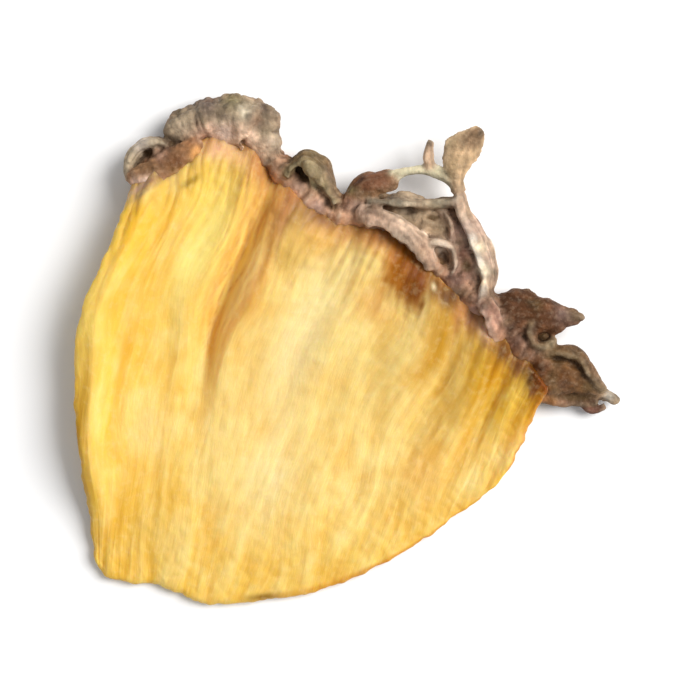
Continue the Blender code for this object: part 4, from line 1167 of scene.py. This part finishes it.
def stretched_grain_group():
    """Fine streaks that follow a grain given in mm: a value for colour and a height for bump."""
    group, given, result = new_group(
        "stretched_grain",
        {"Grain": ("NodeSocketVector", None), "Stretch": ("NodeSocketVector", (1.0, 1.0, 1.0))},
        {"Streak": "NodeSocketFloat", "Height": "NodeSocketFloat"},
    )
    place = add_node(group, "ShaderNodeVectorMath",
                     {0: given.outputs["Grain"], 1: given.outputs["Stretch"]}, operation="MULTIPLY")
    streak = add_node(group, "ShaderNodeTexNoise",
                      {"Vector": place.outputs[0], "Scale": 1.0, "Detail": 4.0, "Roughness": 0.6,
                       "Distortion": 0.15})
    height = add_node(group, "ShaderNodeTexNoise",
                      {"Vector": place.outputs[0], "Scale": 2.1, "Detail": 3.0, "Roughness": 0.55,
                       "Distortion": 0.2})
    group.links.new(streak.outputs["Fac"], result.inputs["Streak"])
    group.links.new(height.outputs["Fac"], result.inputs["Height"])
    return group


def dry_speckle_group():
    """Small specks and pits of a dried surface, in the piece's own space."""
    group, given, result = new_group(
        "dry_speckle",
        {"Colour": ("NodeSocketColor", None), "Speck Colour": ("NodeSocketColor", None),
         "Scale": ("NodeSocketFloat", 2500.0), "Amount": ("NodeSocketFloat", 0.3)},
        {"Colour": "NodeSocketColor", "Height": "NodeSocketFloat"},
    )
    place = add_node(group, "ShaderNodeTexCoord")
    specks = add_node(group, "ShaderNodeTexNoise",
                      {"Vector": place.outputs["Object"], "Scale": given.outputs["Scale"], "Detail": 3.0})
    share = add_node(group, "ShaderNodeMapRange",
                     {"Value": specks.outputs["Fac"], "From Min": 0.52, "From Max": 0.70, "To Min": 0.0,
                      "To Max": given.outputs["Amount"]})
    mixed = add_node(group, "ShaderNodeMix",
                     {"Factor": share.outputs["Result"], 6: given.outputs["Colour"],
                      7: given.outputs["Speck Colour"]}, data_type="RGBA")
    group.links.new(mixed.outputs[2], result.inputs["Colour"])
    group.links.new(specks.outputs["Fac"], result.inputs["Height"])
    return group


def ranged(tree, value, low, high, least, most):
    """A value from low to high, turned into one from least to most."""
    made = add_node(tree, "ShaderNodeMapRange",
                    {"Value": value, "From Min": low, "From Max": high, "To Min": least, "To Max": most})
    return made.outputs["Result"]


def bumped(tree, height, strength, distance, normal=None):
    """The normal of a surface with a height over it, and with the relief of another normal if given."""
    inputs = {"Height": height, "Strength": strength, "Distance": distance}
    if normal is not None:
        inputs["Normal"] = normal
    return add_node(tree, "ShaderNodeBump", inputs).outputs["Normal"]


def dried_material(name, streaks, speckle, finish, grain=None):
    """The colours given to the points, with streaks, specks, an uneven sheen and fine relief.

    The streaks follow the attribute named as grain, or the piece's own space where there is none.
    """
    material = bpy.data.materials.new(name)
    material.use_nodes = True
    tree = material.node_tree
    shader = tree.nodes["Principled BSDF"]
    tint = add_node(tree, "ShaderNodeAttribute", attribute_name="tint", attribute_type="GEOMETRY")
    if grain:
        place = add_node(tree, "ShaderNodeAttribute", attribute_name=grain, attribute_type="GEOMETRY")
    else:
        place = add_node(tree, "ShaderNodeTexCoord")
    fibres = add_node(tree, "ShaderNodeGroup", node_tree=streaks)
    tree.links.new(place.outputs["Vector" if grain else "Object"], fibres.inputs["Grain"])
    fibres.inputs["Stretch"].default_value = finish["stretch"]
    shade = ranged(tree, fibres.outputs["Streak"], *finish["shade"])
    shaded = add_node(tree, "ShaderNodeVectorMath",
                      {0: tint.outputs["Color"], 1: shade}, operation="MULTIPLY")
    speck, scale, amount = finish["specks"]
    specks = add_node(tree, "ShaderNodeGroup", node_tree=speckle)
    tree.links.new(shaded.outputs[0], specks.inputs["Colour"])
    specks.inputs["Speck Colour"].default_value = (*paint(*speck), 1.0)
    specks.inputs["Scale"].default_value = scale
    specks.inputs["Amount"].default_value = amount
    tree.links.new(specks.outputs["Colour"], shader.inputs["Base Color"])
    sheen = ranged(tree, fibres.outputs["Height"], 0.3, 0.7, *finish["roughness"])
    tree.links.new(sheen, shader.inputs["Roughness"])
    rough = bumped(tree, specks.outputs["Height"], *finish["speck_relief"])
    relief = bumped(tree, fibres.outputs["Height"], *finish["grain_relief"], rough)
    tree.links.new(relief, shader.inputs["Normal"])
    weight, radius, depth = finish["light_inside"]
    shader.inputs["Subsurface Weight"].default_value = weight
    shader.inputs["Subsurface Radius"].default_value = radius
    shader.inputs["Subsurface Scale"].default_value = depth
    shader.inputs["Specular IOR Level"].default_value = finish["shine"]
    return material


def flesh_material(streaks, speckle):
    """Golden, slightly see-through flesh with fine fibres and a satin surface."""
    return dried_material("dried_flesh", streaks, speckle, FLESH_FINISH, "grain")


def rind_material(streaks, speckle):
    """Brown to grey dried rind, matte and wrinkled."""
    return dried_material("dried_rind", streaks, speckle, RIND_FINISH)


def make_floor():
    """A plain pale floor, larger than any view."""
    half = 3.0
    corners = np.array([(-half, -half, 0), (half, -half, 0), (half, half, 0), (-half, half, 0)])
    mesh = plain_mesh("floor", corners, [(0, 1, 2, 3)])
    material = bpy.data.materials.new("pale_floor")
    material.use_nodes = True
    shader = material.node_tree.nodes["Principled BSDF"]
    shader.inputs["Base Color"].default_value = (0.93, 0.93, 0.94, 1.0)
    shader.inputs["Roughness"].default_value = 0.85
    shader.inputs["Specular IOR Level"].default_value = 0.2
    mesh.materials.append(material)
    floor = bpy.data.objects.new("floor", mesh)
    bpy.context.scene.collection.objects.link(floor)


def aimed(name, data, place, target=(0.0, 0.0, 0.0)):
    """An object at a place, with its front towards the target."""
    made = bpy.data.objects.new(name, data)
    bpy.context.scene.collection.objects.link(made)
    made.location = place
    made.rotation_euler = (Vector(target) - Vector(place)).to_track_quat("-Z", "Y").to_euler()
    return made


def make_light():
    """A large soft window of light from the right, and pale light from all round."""
    window = bpy.data.lights.new("window", "AREA")
    window.shape = "RECTANGLE"
    window.size, window.size_y = 0.50, 0.50
    window.energy = 8.3
    window.color = (1.0, 0.985, 0.96)
    aimed("window", window, (0.50, 0.19, 0.60))
    world = bpy.data.worlds.new("studio")
    bpy.context.scene.world = world
    world.use_nodes = True
    around = world.node_tree.nodes["Background"]
    around.inputs["Color"].default_value = (0.96, 0.98, 1.0, 1.0)
    around.inputs["Strength"].default_value = 0.42


def make_camera():
    """Straight above, as in the photo, near enough for the piece to fill most of the frame."""
    view_width = 0.069
    lens = bpy.data.cameras.new("camera")
    lens.lens = 100.0
    lens.sensor_width = 36.0
    height = view_width * lens.lens / lens.sensor_width
    camera = bpy.data.objects.new("camera", lens)
    bpy.context.scene.collection.objects.link(camera)
    camera.location = (0.0, 0.0, height)
    bpy.context.scene.camera = camera


def make_flesh(streaks, speckle):
    """The flesh, both of its faces coloured, with its grain along the fibres."""
    points, faces, across, along = flesh_slab(FLESH_COLUMNS, FLESH_ROWS)
    half = len(points) // 2
    colours = np.concatenate([
        flesh_colours(points[part], across[part], along[part], seed)
        for part, seed in ((slice(0, half), OVER_SEED), (slice(half, None), UNDER_SEED))
    ])
    mesh = plain_mesh("flesh", points, faces.tolist())
    u, v = bent(across, along)
    grain = mesh.attributes.new("grain", "FLOAT_VECTOR", "POINT")
    grain.data.foreach_set("vector", np.column_stack([v, u, np.zeros_like(u)]).astype(np.float32).ravel())
    finish_piece("flesh", mesh, points, colours, flesh_material(streaks, speckle))


def make_rind(streaks, speckle):
    """The rind, as one crumpled skin."""
    mesh, points, colours = rind_skin()
    mesh.name = "rind"
    finish_piece("rind", mesh, points, colours, rind_material(streaks, speckle))


def main():
    """Makes both pieces, the floor, the light and the camera."""
    streaks, speckle = stretched_grain_group(), dry_speckle_group()
    make_flesh(streaks, speckle)
    make_rind(streaks, speckle)
    make_floor()
    make_light()
    make_camera()
    bpy.context.scene.view_settings.view_transform = "Standard"
    bpy.context.view_layer.update()



main()
